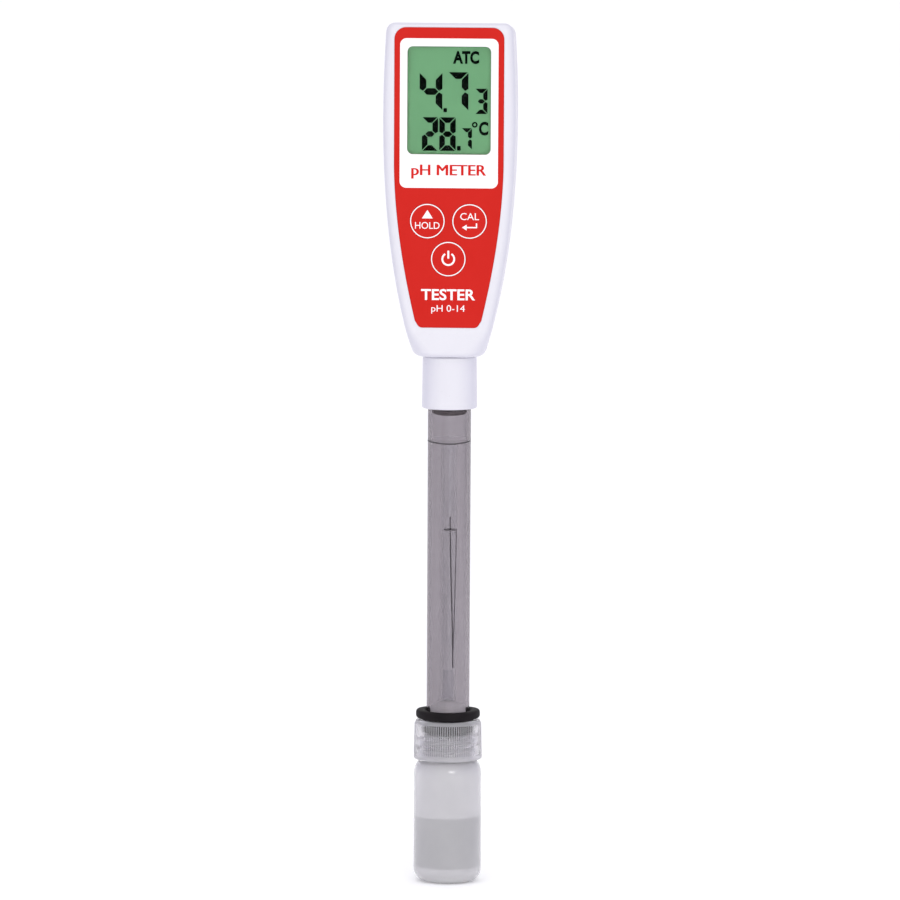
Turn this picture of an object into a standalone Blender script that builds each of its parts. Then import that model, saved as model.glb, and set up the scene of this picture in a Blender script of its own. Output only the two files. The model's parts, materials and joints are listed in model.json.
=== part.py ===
"""A pen-type digital pH meter standing in its storage bottle.

Run it with: blender --background --python part.py
Metres, +Z up. The probe's axis is the Z axis, the display looks along -Y, and the bottle stands on z = 0.
"""

import math

import bmesh
import bpy
from mathutils import Matrix, Vector

MM = 0.001
GAP = 0.3 * MM  # clearance between pieces that touch
ROUND = 24  # sides of a large turned piece
SMALL_ROUND = 12  # sides of a small turned piece

# ---- probe -------------------------------------------------------------------------------------
TUBE_RADIUS = 6.0 * MM
TUBE_BORE = 5.0 * MM
TIP_Z = 12.0 * MM
GUARD_SLOT = 3.2 * MM
GUARD_HEIGHT = 8.0 * MM
STEM_RADIUS = 2.2 * MM
STEM_BORE = 1.7 * MM
BULB_RADIUS = 3.3 * MM
BULB_WALL = 0.4 * MM
BULB_Z = 17.0 * MM
JUNCTION_Z = 23.5 * MM
JUNCTION_HEIGHT = 3.5 * MM
THERMISTOR_RADIUS = 0.6 * MM
THERMISTOR_OFFSET = 3.6 * MM
THERMISTOR_TIP_Z = 19.5 * MM
FILL_TOP_Z = 59.5 * MM
WIRE_RADIUS = 0.22 * MM
WIRE_PLACE = (0.3 * MM, 0.0)
SIGNAL_LEAD_RADIUS = 0.35 * MM
WARM_LEAD_RADIUS = 0.2 * MM
DISC_THICKNESS = 0.5 * MM
WIRE_BOTTOM_Z = 60.0 * MM
WIRE_TOP_Z = 102.5 * MM
WIRE_DISC_Z = 98.85 * MM
REFERENCE_BOTTOM_Z = 62.5 * MM
REFERENCE_TOP_Z = 99.3 * MM
REFERENCE_PLACE = (1.9 * MM, -1.9 * MM)
SEAL_DISC_Z = 123.4 * MM
SEAL_DISC_HEIGHT = 1.0 * MM
PLUG_BOTTOM_Z = 130.9 * MM
PLUG_POST_RADIUS = 3.4 * MM
PLUG_TOP_Z = 146.0 * MM
PIN_RADIUS = 0.8 * MM
PIN_LENGTH = 3.7 * MM

# ---- collar nut and its joint to the head --------------------------------------------------------
COLLAR_BOTTOM_Z = 133.2 * MM
COLLAR_TOP_RADIUS = 7.5 * MM
COLLAR_BOTTOM_RADIUS = 7.7 * MM
COLLAR_BORE = 6.75 * MM
COLLAR_LIP = 1.7 * MM
FLANGE_HEIGHT = 1.4 * MM
SPIGOT_RADIUS = 6.35 * MM
SPIGOT_BORE = 5.0 * MM
BUSHING_FLANGE_RADIUS = 7.4 * MM
BUSHING_FLANGE_HEIGHT = 1.4 * MM
ORING_ROOM = 1.3 * MM
SOCKET_BOTTOM_Z = 139.5 * MM
SOCKET_TOP_Z = 153.5 * MM
LEAD_RADIUS = 0.7 * MM
LEAD_TOP_Z = 165.0 * MM
ORING_THICKNESS = 0.42 * MM

# ---- head ----------------------------------------------------------------------------------------
HEAD_BOTTOM_Z = 148.0 * MM
HEAD_TOP_Z = 241.2 * MM
FRONT_Y = -11.0 * MM
BACK_Y = 13.5 * MM
SEAM_Y = 0.5 * MM
WALL = 1.8 * MM
BOTTOM_WALL = 2.2 * MM
TOP_SLOPE = 0.1  # how much the top falls for each unit towards the back
OUTLINE_CURVE = ((9.64, 147.7), (18.9, 177.3), (19.3, 211.7), (17.55, 239.6))  # half width and height, in mm
TOP_EDGE = 2.4 * MM
BOTTOM_EDGE = 1.8 * MM
FRONT_CORNER = 2.6 * MM
FRONT_CORNER_LOW = 6.0 * MM
BACK_CORNER_WIDTH = 5.0 * MM
BACK_CORNER_DEPTH = 7.0 * MM
BACK_Y_LOW = 9.6 * MM
BACK_FLAT_Z = 186.0 * MM
FRONT_Y_LOW = -9.6 * MM
FRONT_FLAT_Z = 156.0 * MM

# ---- face: overlay, display and keys ---------------------------------------------------------------
OVERLAY_THICKNESS = 0.5 * MM
OVERLAY_PROUD = 0.1 * MM
OVERLAY_HALF_WIDTH = 15.17 * MM
OVERLAY_TOP_Z = 239.8 * MM
OVERLAY_BOTTOM_Z = 156.6 * MM
OVERLAY_CURVE = ((15.17, 203.0), (15.1, 188.0), (12.55, 172.0), (8.72, 156.6))  # half width and height, in mm
OVERLAY_TOP_CORNER = 3.2 * MM
OVERLAY_BOTTOM_CORNER = 1.6 * MM
WINDOW_WIDTH = 23.15 * MM
WINDOW_HEIGHT = 29.9 * MM
WINDOW_Z = 219.65 * MM
WINDOW_CORNER = 1.6 * MM
LCD_WIDTH = 26.4 * MM
LCD_HEIGHT = 33.0 * MM
LCD_THICKNESS = 2.0 * MM
LCD_BORDER = 1.1 * MM  # how much of the display its holder covers at each edge
HOLDER_MARGIN = 1.0 * MM  # how far the holder reaches past the display
STRIP_HALF_LENGTH = 11.0 * MM
STRIP_HALF_HEIGHT = 0.8 * MM
STRIP_OFFSET = 14.0 * MM
KEY_RADIUS = 4.8 * MM
KEY_FLANGE_RADIUS = 5.5 * MM
KEY_CLEARANCE = 0.12 * MM
KEY_PLACES = {"hold": (-5.85 * MM, 186.2 * MM), "cal": (5.85 * MM, 186.2 * MM), "power": (0.0, 175.7 * MM)}

# ---- electronics -----------------------------------------------------------------------------------
PCB_FRONT_Y = -4.9 * MM
PCB_BACK_Y = -3.3 * MM
PCB_MARGIN = 3.5 * MM
PCB_BOTTOM_Z = 154.0 * MM
PCB_TOP_Z = 238.0 * MM
CHIP_HEIGHT = 1.4 * MM
CHIPS = {"controller_chip": (9.0 * MM, 9.0 * MM, 195.0 * MM), "amplifier_chip": (5.0 * MM, 4.0 * MM, 180.0 * MM)}
SWITCH_SIZE = 6.0 * MM
SWITCH_FRONT_Y = -7.0 * MM
PLUNGER_RADIUS = 1.7 * MM
PLUNGER_FRONT_Y = -7.7 * MM

# ---- screws ----------------------------------------------------------------------------------------
SCREW_PLACES = {
    1: (-9.6 * MM, 172.5 * MM),
    2: (9.6 * MM, 172.5 * MM),
    3: (-6.3 * MM, 157.6 * MM),
    4: (6.3 * MM, 157.6 * MM),
}
SCREW_HEAD_RADIUS = 1.9 * MM
SCREW_SHANK_RADIUS = 1.0 * MM
SCREW_HEAD_Y = 5.0 * MM
SCREW_HEAD_HEIGHT = 1.5 * MM
SCREW_TIP_Y = -5.0 * MM
BOSS_RADIUS = 2.6 * MM
BOSS_END_Y = 1.8 * MM

# ---- battery bay -----------------------------------------------------------------------------------
CELL_RADIUS = 5.2 * MM
CELL_LENGTH = 44.5 * MM
CELL_NUB_RADIUS = 1.9 * MM
CELL_NUB_HEIGHT = 1.0 * MM
CELL_X = 5.4 * MM
CELL_Y = 6.35 * MM
CELL_BOTTOM_Z = 190.4 * MM
TRAY_WALL = 0.9 * MM
TRAY_HALF_WIDTH = 11.7 * MM
TRAY_FRONT_Y = -0.2 * MM
TRAY_BACK_Y = 11.3 * MM
TRAY_BOTTOM_Z = 187.7 * MM
TRAY_TOP_Z = 237.0 * MM
CONTACT_THICKNESS = 0.3 * MM
CONTACT_INNER = 0.9 * MM
CONTACT_OUTER = 9.8 * MM
CONTACT_FRONT_Y = 2.6 * MM
CONTACT_BACK_Y = 10.2 * MM
SPRING_WIRE_RADIUS = 0.18 * MM
SPRING_WIDE = 3.6 * MM
SPRING_NARROW = 1.6 * MM
COVER_HALF_WIDTH = 12.0 * MM
COVER_INNER_Y = 11.9 * MM
COVER_BOTTOM_Z = 187.7 * MM

# ---- storage bottle, cap and grommet -----------------------------------------------------------------
BOTTLE_RADIUS = 9.45 * MM
BOTTLE_WALL = 1.0 * MM
BOTTLE_BASE_CORNER = 3.7 * MM
BOTTLE_SHOULDER_Z = 31.2 * MM
BOTTLE_NECK_Z = 34.2 * MM
BOTTLE_TOP_Z = 41.6 * MM
NECK_RADIUS = 7.4 * MM
NECK_BORE = 6.4 * MM
SOLUTION_TOP_Z = 18.5 * MM
CAP_BOTTOM_Z = 34.7 * MM
CAP_TOP_Z = 45.7 * MM
CAP_BOTTOM_RADIUS = 9.5 * MM
CAP_TOP_RADIUS = 9.3 * MM
CAP_BORE = 8.1 * MM
CAP_ROOF = 1.5 * MM
CAP_ROOF_HOLE = 7.2 * MM
GROMMET_BORE = 6.2 * MM
GROMMET_NECK_RADIUS = 6.9 * MM
GROMMET_LOWER_RADIUS = 7.85 * MM
GROMMET_LOWER_HEIGHT = 2.0 * MM
GROMMET_TOP_RADIUS = 8.95 * MM
GROMMET_TOP_HEIGHT = 1.4 * MM
GROMMET_TOP_Z = 48.4 * MM

MATERIALS = {}


# ---- scene, materials and mesh helpers ---------------------------------------------------------------

def clear_scene():
    for old in list(bpy.data.objects):
        bpy.data.objects.remove(old, do_unlink=True)


def material(name, color, roughness=0.4, metallic=0.0):
    """A Principled BSDF material, made once for each name."""
    if name not in MATERIALS:
        made = bpy.data.materials.new(name)
        made.use_nodes = True
        shader = made.node_tree.nodes["Principled BSDF"]
        shader.inputs["Base Color"].default_value = (*color, 1.0)
        shader.inputs["Roughness"].default_value = roughness
        shader.inputs["Metallic"].default_value = metallic
        MATERIALS[name] = made
    return MATERIALS[name]


WHITE_ABS = ("white_abs", (0.87, 0.86, 0.92), 0.25)
RED_LABEL = ("red_label", (0.71, 0.03, 0.02), 0.35)
CLEAR_PLASTIC = ("clear_plastic", (0.6, 0.6, 0.62), 0.1)
DISPLAY = ("display", (0.17, 0.37, 0.19), 0.3)
SMOKY_PLASTIC = ("smoky_plastic", (0.33, 0.3, 0.33), 0.15)
GLASS = ("glass", (0.6, 0.62, 0.62), 0.05)
MILKY_PLASTIC = ("milky_plastic", (0.62, 0.62, 0.6), 0.35)
BLACK_RUBBER = ("black_rubber", (0.02, 0.018, 0.02), 0.7)
BLACK_PLASTIC = ("black_plastic", (0.03, 0.03, 0.03), 0.45)
GREY_PLASTIC = ("grey_plastic", (0.3, 0.3, 0.32), 0.5)
STEEL = ("steel", (0.6, 0.6, 0.6), 0.3, 1.0)
BRASS = ("gilt_brass", (0.8, 0.6, 0.25), 0.3, 1.0)
SILVER = ("silver", (0.3, 0.3, 0.3), 0.4, 1.0)
BOARD = ("board", (0.02, 0.16, 0.06), 0.45)
CELL_JACKET = ("cell_jacket", (0.05, 0.12, 0.3), 0.35)
LIQUID = ("liquid", (0.45, 0.47, 0.47), 0.1)
LEAD_JACKET = ("lead_jacket", (0.25, 0.25, 0.26), 0.5)


def finish_object(name, bm, finish, origin=(0.0, 0.0, 0.0), smooth_angle=35):
    """Turns a bmesh in world space into a named object whose origin is at `origin`."""
    bmesh.ops.recalc_face_normals(bm, faces=bm.faces)
    mesh = bpy.data.meshes.new(name)
    bm.to_mesh(mesh)
    bm.free()
    mesh.transform(Matrix.Translation(-Vector(origin)))
    mesh.shade_smooth()
    mesh.set_sharp_from_angle(angle=math.radians(smooth_angle))
    made = bpy.data.objects.new(name, mesh)
    made.location = origin
    if finish:
        mesh.materials.append(material(*finish))
    bpy.context.scene.collection.objects.link(made)
    return made


def cutter(name, bm, origin=(0.0, 0.0, 0.0)):
    """A hidden object that other pieces are cut by or joined with."""
    made = finish_object(name, bm, None, origin)
    made.hide_render = True
    made.display_type = "WIRE"
    return made


def boolean(target, tool, operation="DIFFERENCE"):
    modifier = target.modifiers.new(f"{operation.lower()}_{tool.name}", "BOOLEAN")
    modifier.operation = operation
    modifier.solver = "EXACT"
    modifier.object = tool


def turned(profile, sides=ROUND, center=(0.0, 0.0), axis="Z"):
    """Spins a closed profile of (radius, height) points once round an axis through `center`.

    Along Z the center is (x, y). Along Y the center is (x, z) and the heights are y values.
    """
    bm = bmesh.new()
    rings = []
    for radius, height in profile:
        count = 1 if radius == 0.0 else sides
        ring = []
        for step in range(count):
            angle = 2.0 * math.pi * step / sides
            across = center[0] + radius * math.cos(angle)
            along = center[1] + radius * math.sin(angle)
            place = (across, along, height) if axis == "Z" else (across, height, along)
            ring.append(bm.verts.new(place))
        rings.append(ring)
    closed = profile[0][0] > 0.0
    pairs = zip(rings, rings[1:] + rings[:1]) if closed else zip(rings, rings[1:])
    for low, high in pairs:
        for step in range(sides):
            after = (step + 1) % sides
            corners = [low[step % len(low)], low[after % len(low)], high[after % len(high)], high[step % len(high)]]
            unique = list(dict.fromkeys(corners))
            if len(unique) > 2:
                bm.faces.new(unique)
    return bm


def cylinder(radius, low, high, sides=SMALL_ROUND, center=(0.0, 0.0), axis="Z"):
    return turned([(0.0, low), (radius, low), (radius, high), (0.0, high)], sides, center, axis)


def arc(center, radii, start, end, steps):
    """Points on an ellipse's arc, angles in degrees."""
    points = []
    for step in range(steps + 1):
        angle = math.radians(start + (end - start) * step / steps)
        points.append((center[0] + radii[0] * math.cos(angle), center[1] + radii[1] * math.sin(angle)))
    return points


def box(low, high):
    bm = bmesh.new()
    size = Vector(high) - Vector(low)
    middle = (Vector(high) + Vector(low)) / 2.0
    bmesh.ops.create_cube(bm, size=1.0, matrix=Matrix.Translation(middle) @ Matrix.Diagonal((*size, 1.0)))
    return bm


def together(pieces):
    """Several separate bmeshes as one."""
    whole = bmesh.new()
    for bm in pieces:
        step = bpy.data.meshes.new("step")
        bmesh.ops.recalc_face_normals(bm, faces=bm.faces)
        bm.to_mesh(step)
        bm.free()
        whole.from_mesh(step)
        bpy.data.meshes.remove(step)
    return whole


def rounded_rectangle(width, height, corner, center=(0.0, 0.0), steps=4):
    """A loop of (x, z) points."""
    points = []
    for turn, (side, level) in enumerate(((1, 1), (-1, 1), (-1, -1), (1, -1))):
        middle = (center[0] + side * (width / 2 - corner), center[1] + level * (height / 2 - corner))
        points += arc(middle, (corner, corner), 90 * turn, 90 * turn + 90, steps)
    return points


def circle(radius, center, sides=24):
    return arc(center, (radius, radius), 0, 360 - 360 / sides, sides - 1)


def plate(outline, low, high, holes=(), axis="Y"):
    """A flat piece of even thickness, with holes.

    Along Y the outline's points are (x, z), and along Z they are (x, y).
    """
    bm = bmesh.new()
    for loop in (outline, *holes):
        verts = [bm.verts.new((a, low, b) if axis == "Y" else (a, b, low)) for a, b in loop]
        for first, second in zip(verts, verts[1:] + verts[:1]):
            bm.edges.new((first, second))
    bmesh.ops.triangle_fill(bm, use_beauty=True, use_dissolve=False, edges=bm.edges)
    grown = bmesh.ops.extrude_face_region(bm, geom=list(bm.faces), use_keep_orig=True)
    moved = [item for item in grown["geom"] if isinstance(item, bmesh.types.BMVert)]
    shift = Vector((0.0, high - low, 0.0)) if axis == "Y" else Vector((0.0, 0.0, high - low))
    bmesh.ops.translate(bm, verts=moved, vec=shift)
    return bm


def tube_along(name, points, radius, finish, sides=6):
    """A round wire through the points, with closed ends."""
    curve = bpy.data.curves.new(name, "CURVE")
    curve.dimensions = "3D"
    curve.bevel_depth = radius
    curve.bevel_resolution = sides // 2 - 2
    curve.use_fill_caps = True
    spline = curve.splines.new("POLY")
    spline.points.add(len(points) - 1)
    for point, place in zip(spline.points, points):
        point.co = (*place, 1.0)
    curve.materials.append(material(*finish))
    made = bpy.data.objects.new(name, curve)
    bpy.context.scene.collection.objects.link(made)
    return made


def bezier(controls, t):
    """A point on a cubic curve."""
    a, b, c, d = (Vector(point) for point in controls)
    return a * (1 - t) ** 3 + b * 3 * t * (1 - t) ** 2 + c * 3 * t * t * (1 - t) + d * t ** 3


def ease(value):
    value = min(max(value, 0.0), 1.0)
    return value * value * (3.0 - 2.0 * value)


def blended(low, high, share):
    return low + (high - low) * share


# ---- shape of the head -------------------------------------------------------------------------------

def outline_half_width(z):
    """Half width of the head's front view at height z, before the top and bottom edges are rounded."""
    low, high = 0.0, 1.0
    for _ in range(30):
        middle = (low + high) / 2
        if bezier(OUTLINE_CURVE, middle)[1] * MM < z:
            low = middle
        else:
            high = middle
    return bezier(OUTLINE_CURVE, low)[0] * MM


def edge_inset(z, bottom, top, bottom_edge, top_edge):
    """How far a section shrinks where the body rounds over into its top and bottom."""
    if z < bottom + bottom_edge:
        reach, radius = bottom + bottom_edge - z, bottom_edge
    elif z > top - top_edge:
        reach, radius = z - (top - top_edge), top_edge
    else:
        return 0.0
    return radius - math.sqrt(max(radius * radius - reach * reach, 0.0))


def back_y(z):
    """The head's back, which is flat behind the battery bay and draws in towards the neck."""
    return blended(BACK_Y_LOW, BACK_Y, ease((z - HEAD_BOTTOM_Z) / (BACK_FLAT_Z - HEAD_BOTTOM_Z)))


def head_section(z, inset):
    """One level loop of (x, y) points round the head, `inset` inside its outer surface."""
    half = outline_half_width(z) - inset
    upper = ease((z - HEAD_BOTTOM_Z) / (FRONT_FLAT_Z - HEAD_BOTTOM_Z))
    front = blended(FRONT_Y_LOW, FRONT_Y, upper) + inset
    back = back_y(z) - inset
    front_corner = max(blended(FRONT_CORNER_LOW, FRONT_CORNER, upper) - inset, 0.6 * MM)
    back_wide = max(BACK_CORNER_WIDTH - inset, 0.6 * MM)
    back_deep = max(BACK_CORNER_DEPTH - inset, 0.6 * MM)
    loop = arc((half - back_wide, back - back_deep), (back_wide, back_deep), 0, 90, 5)
    loop += arc((back_wide - half, back - back_deep), (back_wide, back_deep), 90, 180, 5)
    loop += arc((front_corner - half, front + front_corner), (front_corner, front_corner), 180, 270, 4)
    loop += arc((half - front_corner, front + front_corner), (front_corner, front_corner), 270, 360, 4)
    return loop


def head_levels(bottom, top, bottom_edge, top_edge):
    """Heights of the sections: close together where the ends round over."""
    quarter = [math.sin(math.radians(angle)) for angle in (0, 30, 55, 75, 90)]
    levels = [bottom + bottom_edge * (1 - share) for share in reversed(quarter)]
    count = 11
    low, high = bottom + bottom_edge, top - top_edge
    levels += [low + (high - low) * step / count for step in range(1, count)]
    levels += [top - top_edge * (1 - share) for share in quarter]
    return levels


def sloped_top(place):
    """The top of the head falls towards its back."""
    share = ease((place[2] - (HEAD_TOP_Z - 9 * MM)) / (9 * MM))
    return (place[0], place[1], place[2] - share * TOP_SLOPE * (place[1] - FRONT_Y))


def head_body(inset, bottom, top, bottom_edge, top_edge):
    """The head as a solid, between two heights, with rounded ends."""
    bm = bmesh.new()
    rings = []
    for z in head_levels(bottom, top, bottom_edge, top_edge):
        shrink = edge_inset(z, bottom, top, bottom_edge, top_edge)
        rings.append([bm.verts.new(sloped_top((x, y, z))) for x, y in head_section(z, inset + shrink)])
    for low, high in zip(rings, rings[1:]):
        for step in range(len(low)):
            after = (step + 1) % len(low)
            bm.faces.new((low[step], low[after], high[after], high[step]))
    bm.faces.new(rings[0])
    bm.faces.new(rings[-1])
    return bm


def outer_head():
    return head_body(0.0, HEAD_BOTTOM_Z, HEAD_TOP_Z, BOTTOM_EDGE, TOP_EDGE)


def inner_head():
    return head_body(WALL, HEAD_BOTTOM_Z + BOTTOM_WALL, HEAD_TOP_Z - WALL, 0.8 * MM, 0.8 * MM)


def overlay_outline(grow=0.0):
    """The face label's outline, `grow` larger all round, as (x, z) points."""
    corner = OVERLAY_TOP_CORNER + grow
    half = OVERLAY_HALF_WIDTH + grow
    top = OVERLAY_TOP_Z + grow
    right = arc((half - corner, top - corner), (corner, corner), 90, 0, 5)
    for step in range(1, 9):
        place = bezier(OVERLAY_CURVE, step / 9.0)
        right.append((place[0] * MM + grow, place[1] * MM))
    low_corner = OVERLAY_BOTTOM_CORNER + grow
    end = bezier(OVERLAY_CURVE, 1.0)[0] * MM + grow
    right += arc((end - low_corner, OVERLAY_BOTTOM_Z - grow + low_corner), (low_corner, low_corner), -25, -90, 3)
    left = [(-x, z) for x, z in reversed(right)]
    return right + left


# ---- shells ------------------------------------------------------------------------------------------

FAR = 60 * MM
FLOOR_Y = FRONT_Y - OVERLAY_PROUD + OVERLAY_THICKNESS + GAP  # floor of the label's recess


def make_front_shell(inner):
    shell = finish_object("front_shell", outer_head(), WHITE_ABS)
    boolean(shell, inner)
    behind = cutter("cut_behind_seam", box((-FAR, SEAM_Y - GAP / 2, 100 * MM), (FAR, FAR, 300 * MM)))
    boolean(shell, behind)
    low, high = FRONT_Y + 1.2 * MM, BOSS_END_Y - 1.5 * MM
    posts = [cylinder(BOSS_RADIUS, low, high, 16, place, "Y") for place in SCREW_PLACES.values()]
    boolean(shell, cutter("bosses_front", together(posts)), "UNION")
    recess = plate(overlay_outline(0.15 * MM), FRONT_Y - 2 * MM, FLOOR_Y)
    boolean(shell, cutter("label_recess", recess))
    low, high = FRONT_Y - 1 * MM, FRONT_Y + 4 * MM
    display = rounded_rectangle(LCD_WIDTH + 2 * GAP, LCD_HEIGHT + 2 * GAP, 0.8 * MM, (0.0, WINDOW_Z), 2)
    openings = [cylinder(KEY_RADIUS + GAP, low, high, 24, place, "Y") for place in KEY_PLACES.values()]
    boolean(shell, cutter("face_openings", together([plate(display, low, high), *openings])))
    boolean(shell, spigot_hole())
    hole_radius, hole_end = SCREW_SHANK_RADIUS + 0.2 * MM, SCREW_TIP_Y - 0.4 * MM
    holes = [cylinder(hole_radius, hole_end, FAR, 12, place, "Y") for place in SCREW_PLACES.values()]
    boolean(shell, cutter("screw_holes", together(holes)))
    return shell


def spigot_hole():
    existing = bpy.data.objects.get("spigot_hole")
    if existing:
        return existing
    return cutter("spigot_hole", cylinder(SPIGOT_RADIUS + GAP, HEAD_BOTTOM_Z - 5 * MM, HEAD_BOTTOM_Z + 5 * MM, ROUND))


def make_rear_shell(inner):
    shell = finish_object("rear_shell", outer_head(), WHITE_ABS)
    boolean(shell, inner)
    before = cutter("cut_before_seam", box((-FAR, -FAR, 100 * MM), (FAR, SEAM_Y + GAP / 2, 300 * MM)))
    boolean(shell, before)
    slot_half = COVER_HALF_WIDTH + 0.25 * MM
    slot = box((-slot_half, COVER_INNER_Y - GAP, COVER_BOTTOM_Z - GAP), (slot_half, FAR, 300 * MM))
    boolean(shell, cutter("cover_slot", slot))
    boolean(shell, spigot_hole())
    posts = [
        cylinder(BOSS_RADIUS, BOSS_END_Y, back_y(z) - WALL / 2, 16, (x, z), "Y") for x, z in SCREW_PLACES.values()
    ]
    boolean(shell, cutter("bosses_rear", together(posts)), "UNION")
    start, shoulder = BOSS_END_Y - 1 * MM, SCREW_HEAD_Y - GAP
    narrow, wide = SCREW_SHANK_RADIUS + 0.25 * MM, SCREW_HEAD_RADIUS + 0.2 * MM
    bore = [(0.0, start), (narrow, start), (narrow, shoulder), (wide, shoulder), (wide, FAR), (0.0, FAR)]
    bores = [turned(bore, 16, place, "Y") for place in SCREW_PLACES.values()]
    boolean(shell, cutter("screw_bores", together(bores)))
    return shell


def make_battery_cover():
    cover = finish_object("battery_cover", outer_head(), WHITE_ABS, (0.0, COVER_INNER_Y, COVER_BOTTOM_Z))
    keep = box((-COVER_HALF_WIDTH, COVER_INNER_Y, COVER_BOTTOM_Z), (COVER_HALF_WIDTH, FAR, 300 * MM))
    boolean(cover, cutter("cover_limits", keep), "INTERSECT")
    return cover


def make_screws():
    for number, (x, z) in SCREW_PLACES.items():
        top = SCREW_HEAD_Y + SCREW_HEAD_HEIGHT
        profile = [
            (0.0, SCREW_TIP_Y),
            (SCREW_SHANK_RADIUS * 0.5, SCREW_TIP_Y),
            (SCREW_SHANK_RADIUS, SCREW_TIP_Y + 1 * MM),
            (SCREW_SHANK_RADIUS, SCREW_HEAD_Y),
            (SCREW_HEAD_RADIUS, SCREW_HEAD_Y),
            (SCREW_HEAD_RADIUS, top - 0.4 * MM),
            (SCREW_HEAD_RADIUS * 0.75, top),
            (0.0, top),
        ]
        finish_object(f"shell_screw_{number}", turned(profile, 12, (x, z), "Y"), STEEL)


# ---- face --------------------------------------------------------------------------------------------

def make_face():
    back = FRONT_Y - OVERLAY_PROUD + OVERLAY_THICKNESS
    front = FRONT_Y - OVERLAY_PROUD
    window_hole = rounded_rectangle(WINDOW_WIDTH, WINDOW_HEIGHT, WINDOW_CORNER, (0.0, WINDOW_Z))
    key_holes = [circle(KEY_RADIUS + KEY_CLEARANCE, place) for place in KEY_PLACES.values()]
    finish_object("face_overlay", plate(overlay_outline(), front, back, [window_hole, *key_holes]), RED_LABEL)
    shrink = 0.3 * MM
    pane = rounded_rectangle(WINDOW_WIDTH - shrink, WINDOW_HEIGHT - shrink, WINDOW_CORNER, (0.0, WINDOW_Z))
    finish_object("lcd_window", plate(pane, front + 0.05 * MM, back - 0.05 * MM), CLEAR_PLASTIC)
    glass = rounded_rectangle(LCD_WIDTH, LCD_HEIGHT, 0.4 * MM, (0.0, WINDOW_Z), 2)
    lcd_front = back + GAP
    finish_object("lcd_panel", plate(glass, lcd_front, lcd_front + LCD_THICKNESS), DISPLAY)
    make_display_holder(lcd_front + LCD_THICKNESS + GAP)


def make_display_holder(front):
    """The frame and the two contact strips between the display and the board."""
    back = PCB_FRONT_Y - GAP
    width, height = LCD_WIDTH + 2 * HOLDER_MARGIN, LCD_HEIGHT + 2 * HOLDER_MARGIN
    frame = rounded_rectangle(width, height, 1.0 * MM, (0.0, WINDOW_Z), 2)
    width, height = LCD_WIDTH - 2 * LCD_BORDER, LCD_HEIGHT - 2 * LCD_BORDER
    opening = rounded_rectangle(width, height, 0.5 * MM, (0.0, WINDOW_Z), 2)
    finish_object("lcd_holder", plate(frame, front, back, [opening]), BLACK_PLASTIC)
    for name, side in (("upper", 1), ("lower", -1)):
        z = WINDOW_Z + side * STRIP_OFFSET
        low = (-STRIP_HALF_LENGTH, front, z - STRIP_HALF_HEIGHT)
        strip = box(low, (STRIP_HALF_LENGTH, back, z + STRIP_HALF_HEIGHT))
        finish_object(f"zebra_strip_{name}", strip, GREY_PLASTIC)


def make_keys():
    """Each key is a disc with a retaining flange, and pushes the plunger of a switch."""
    front = FRONT_Y - OVERLAY_PROUD - 0.1 * MM
    shoulder = FRONT_Y + WALL + GAP
    foot = PLUNGER_FRONT_Y - GAP
    for name, place in KEY_PLACES.items():
        origin = (place[0], front, place[1])
        profile = [
            (0.0, front),
            (KEY_RADIUS - 0.15 * MM, front),
            (KEY_RADIUS, front + 0.15 * MM),
            (KEY_RADIUS, shoulder),
            (KEY_FLANGE_RADIUS, shoulder),
            (KEY_FLANGE_RADIUS, foot),
            (0.0, foot),
        ]
        finish_object(f"key_{name}", turned(profile, 24, place, "Y"), RED_LABEL, origin)
        plunger = cylinder(PLUNGER_RADIUS, PLUNGER_FRONT_Y, SWITCH_FRONT_Y + 1.0 * MM, 12, place, "Y")
        finish_object(f"plunger_{name}", plunger, BLACK_PLASTIC, origin)
        half = SWITCH_SIZE / 2
        outline = rounded_rectangle(2 * half, 2 * half, 0.4 * MM, place, 1)
        well = circle(PLUNGER_RADIUS + 0.15 * MM, place, 12)
        switch = plate(outline, SWITCH_FRONT_Y, PCB_FRONT_Y - GAP, [well])
        finish_object(f"switch_{name}", switch, GREY_PLASTIC)


# ---- electronics -------------------------------------------------------------------------------------

def make_board():
    steps = 10
    right = []
    for step in range(steps + 1):
        z = blended(PCB_TOP_Z, PCB_BOTTOM_Z, step / steps)
        right.append((outline_half_width(z) - PCB_MARGIN, z))
    outline = right + [(-x, z) for x, z in reversed(right)]
    holes = [circle(BOSS_RADIUS + GAP, place, 16) for place in SCREW_PLACES.values()]
    finish_object("main_pcb", plate(outline, PCB_FRONT_Y, PCB_BACK_Y, holes), BOARD)
    front = PCB_BACK_Y + GAP
    for name, (width, height, z) in CHIPS.items():
        chip = box((-width / 2, front, z - height / 2), (width / 2, front + CHIP_HEIGHT, z + height / 2))
        finish_object(name, chip, BLACK_PLASTIC)


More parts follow.
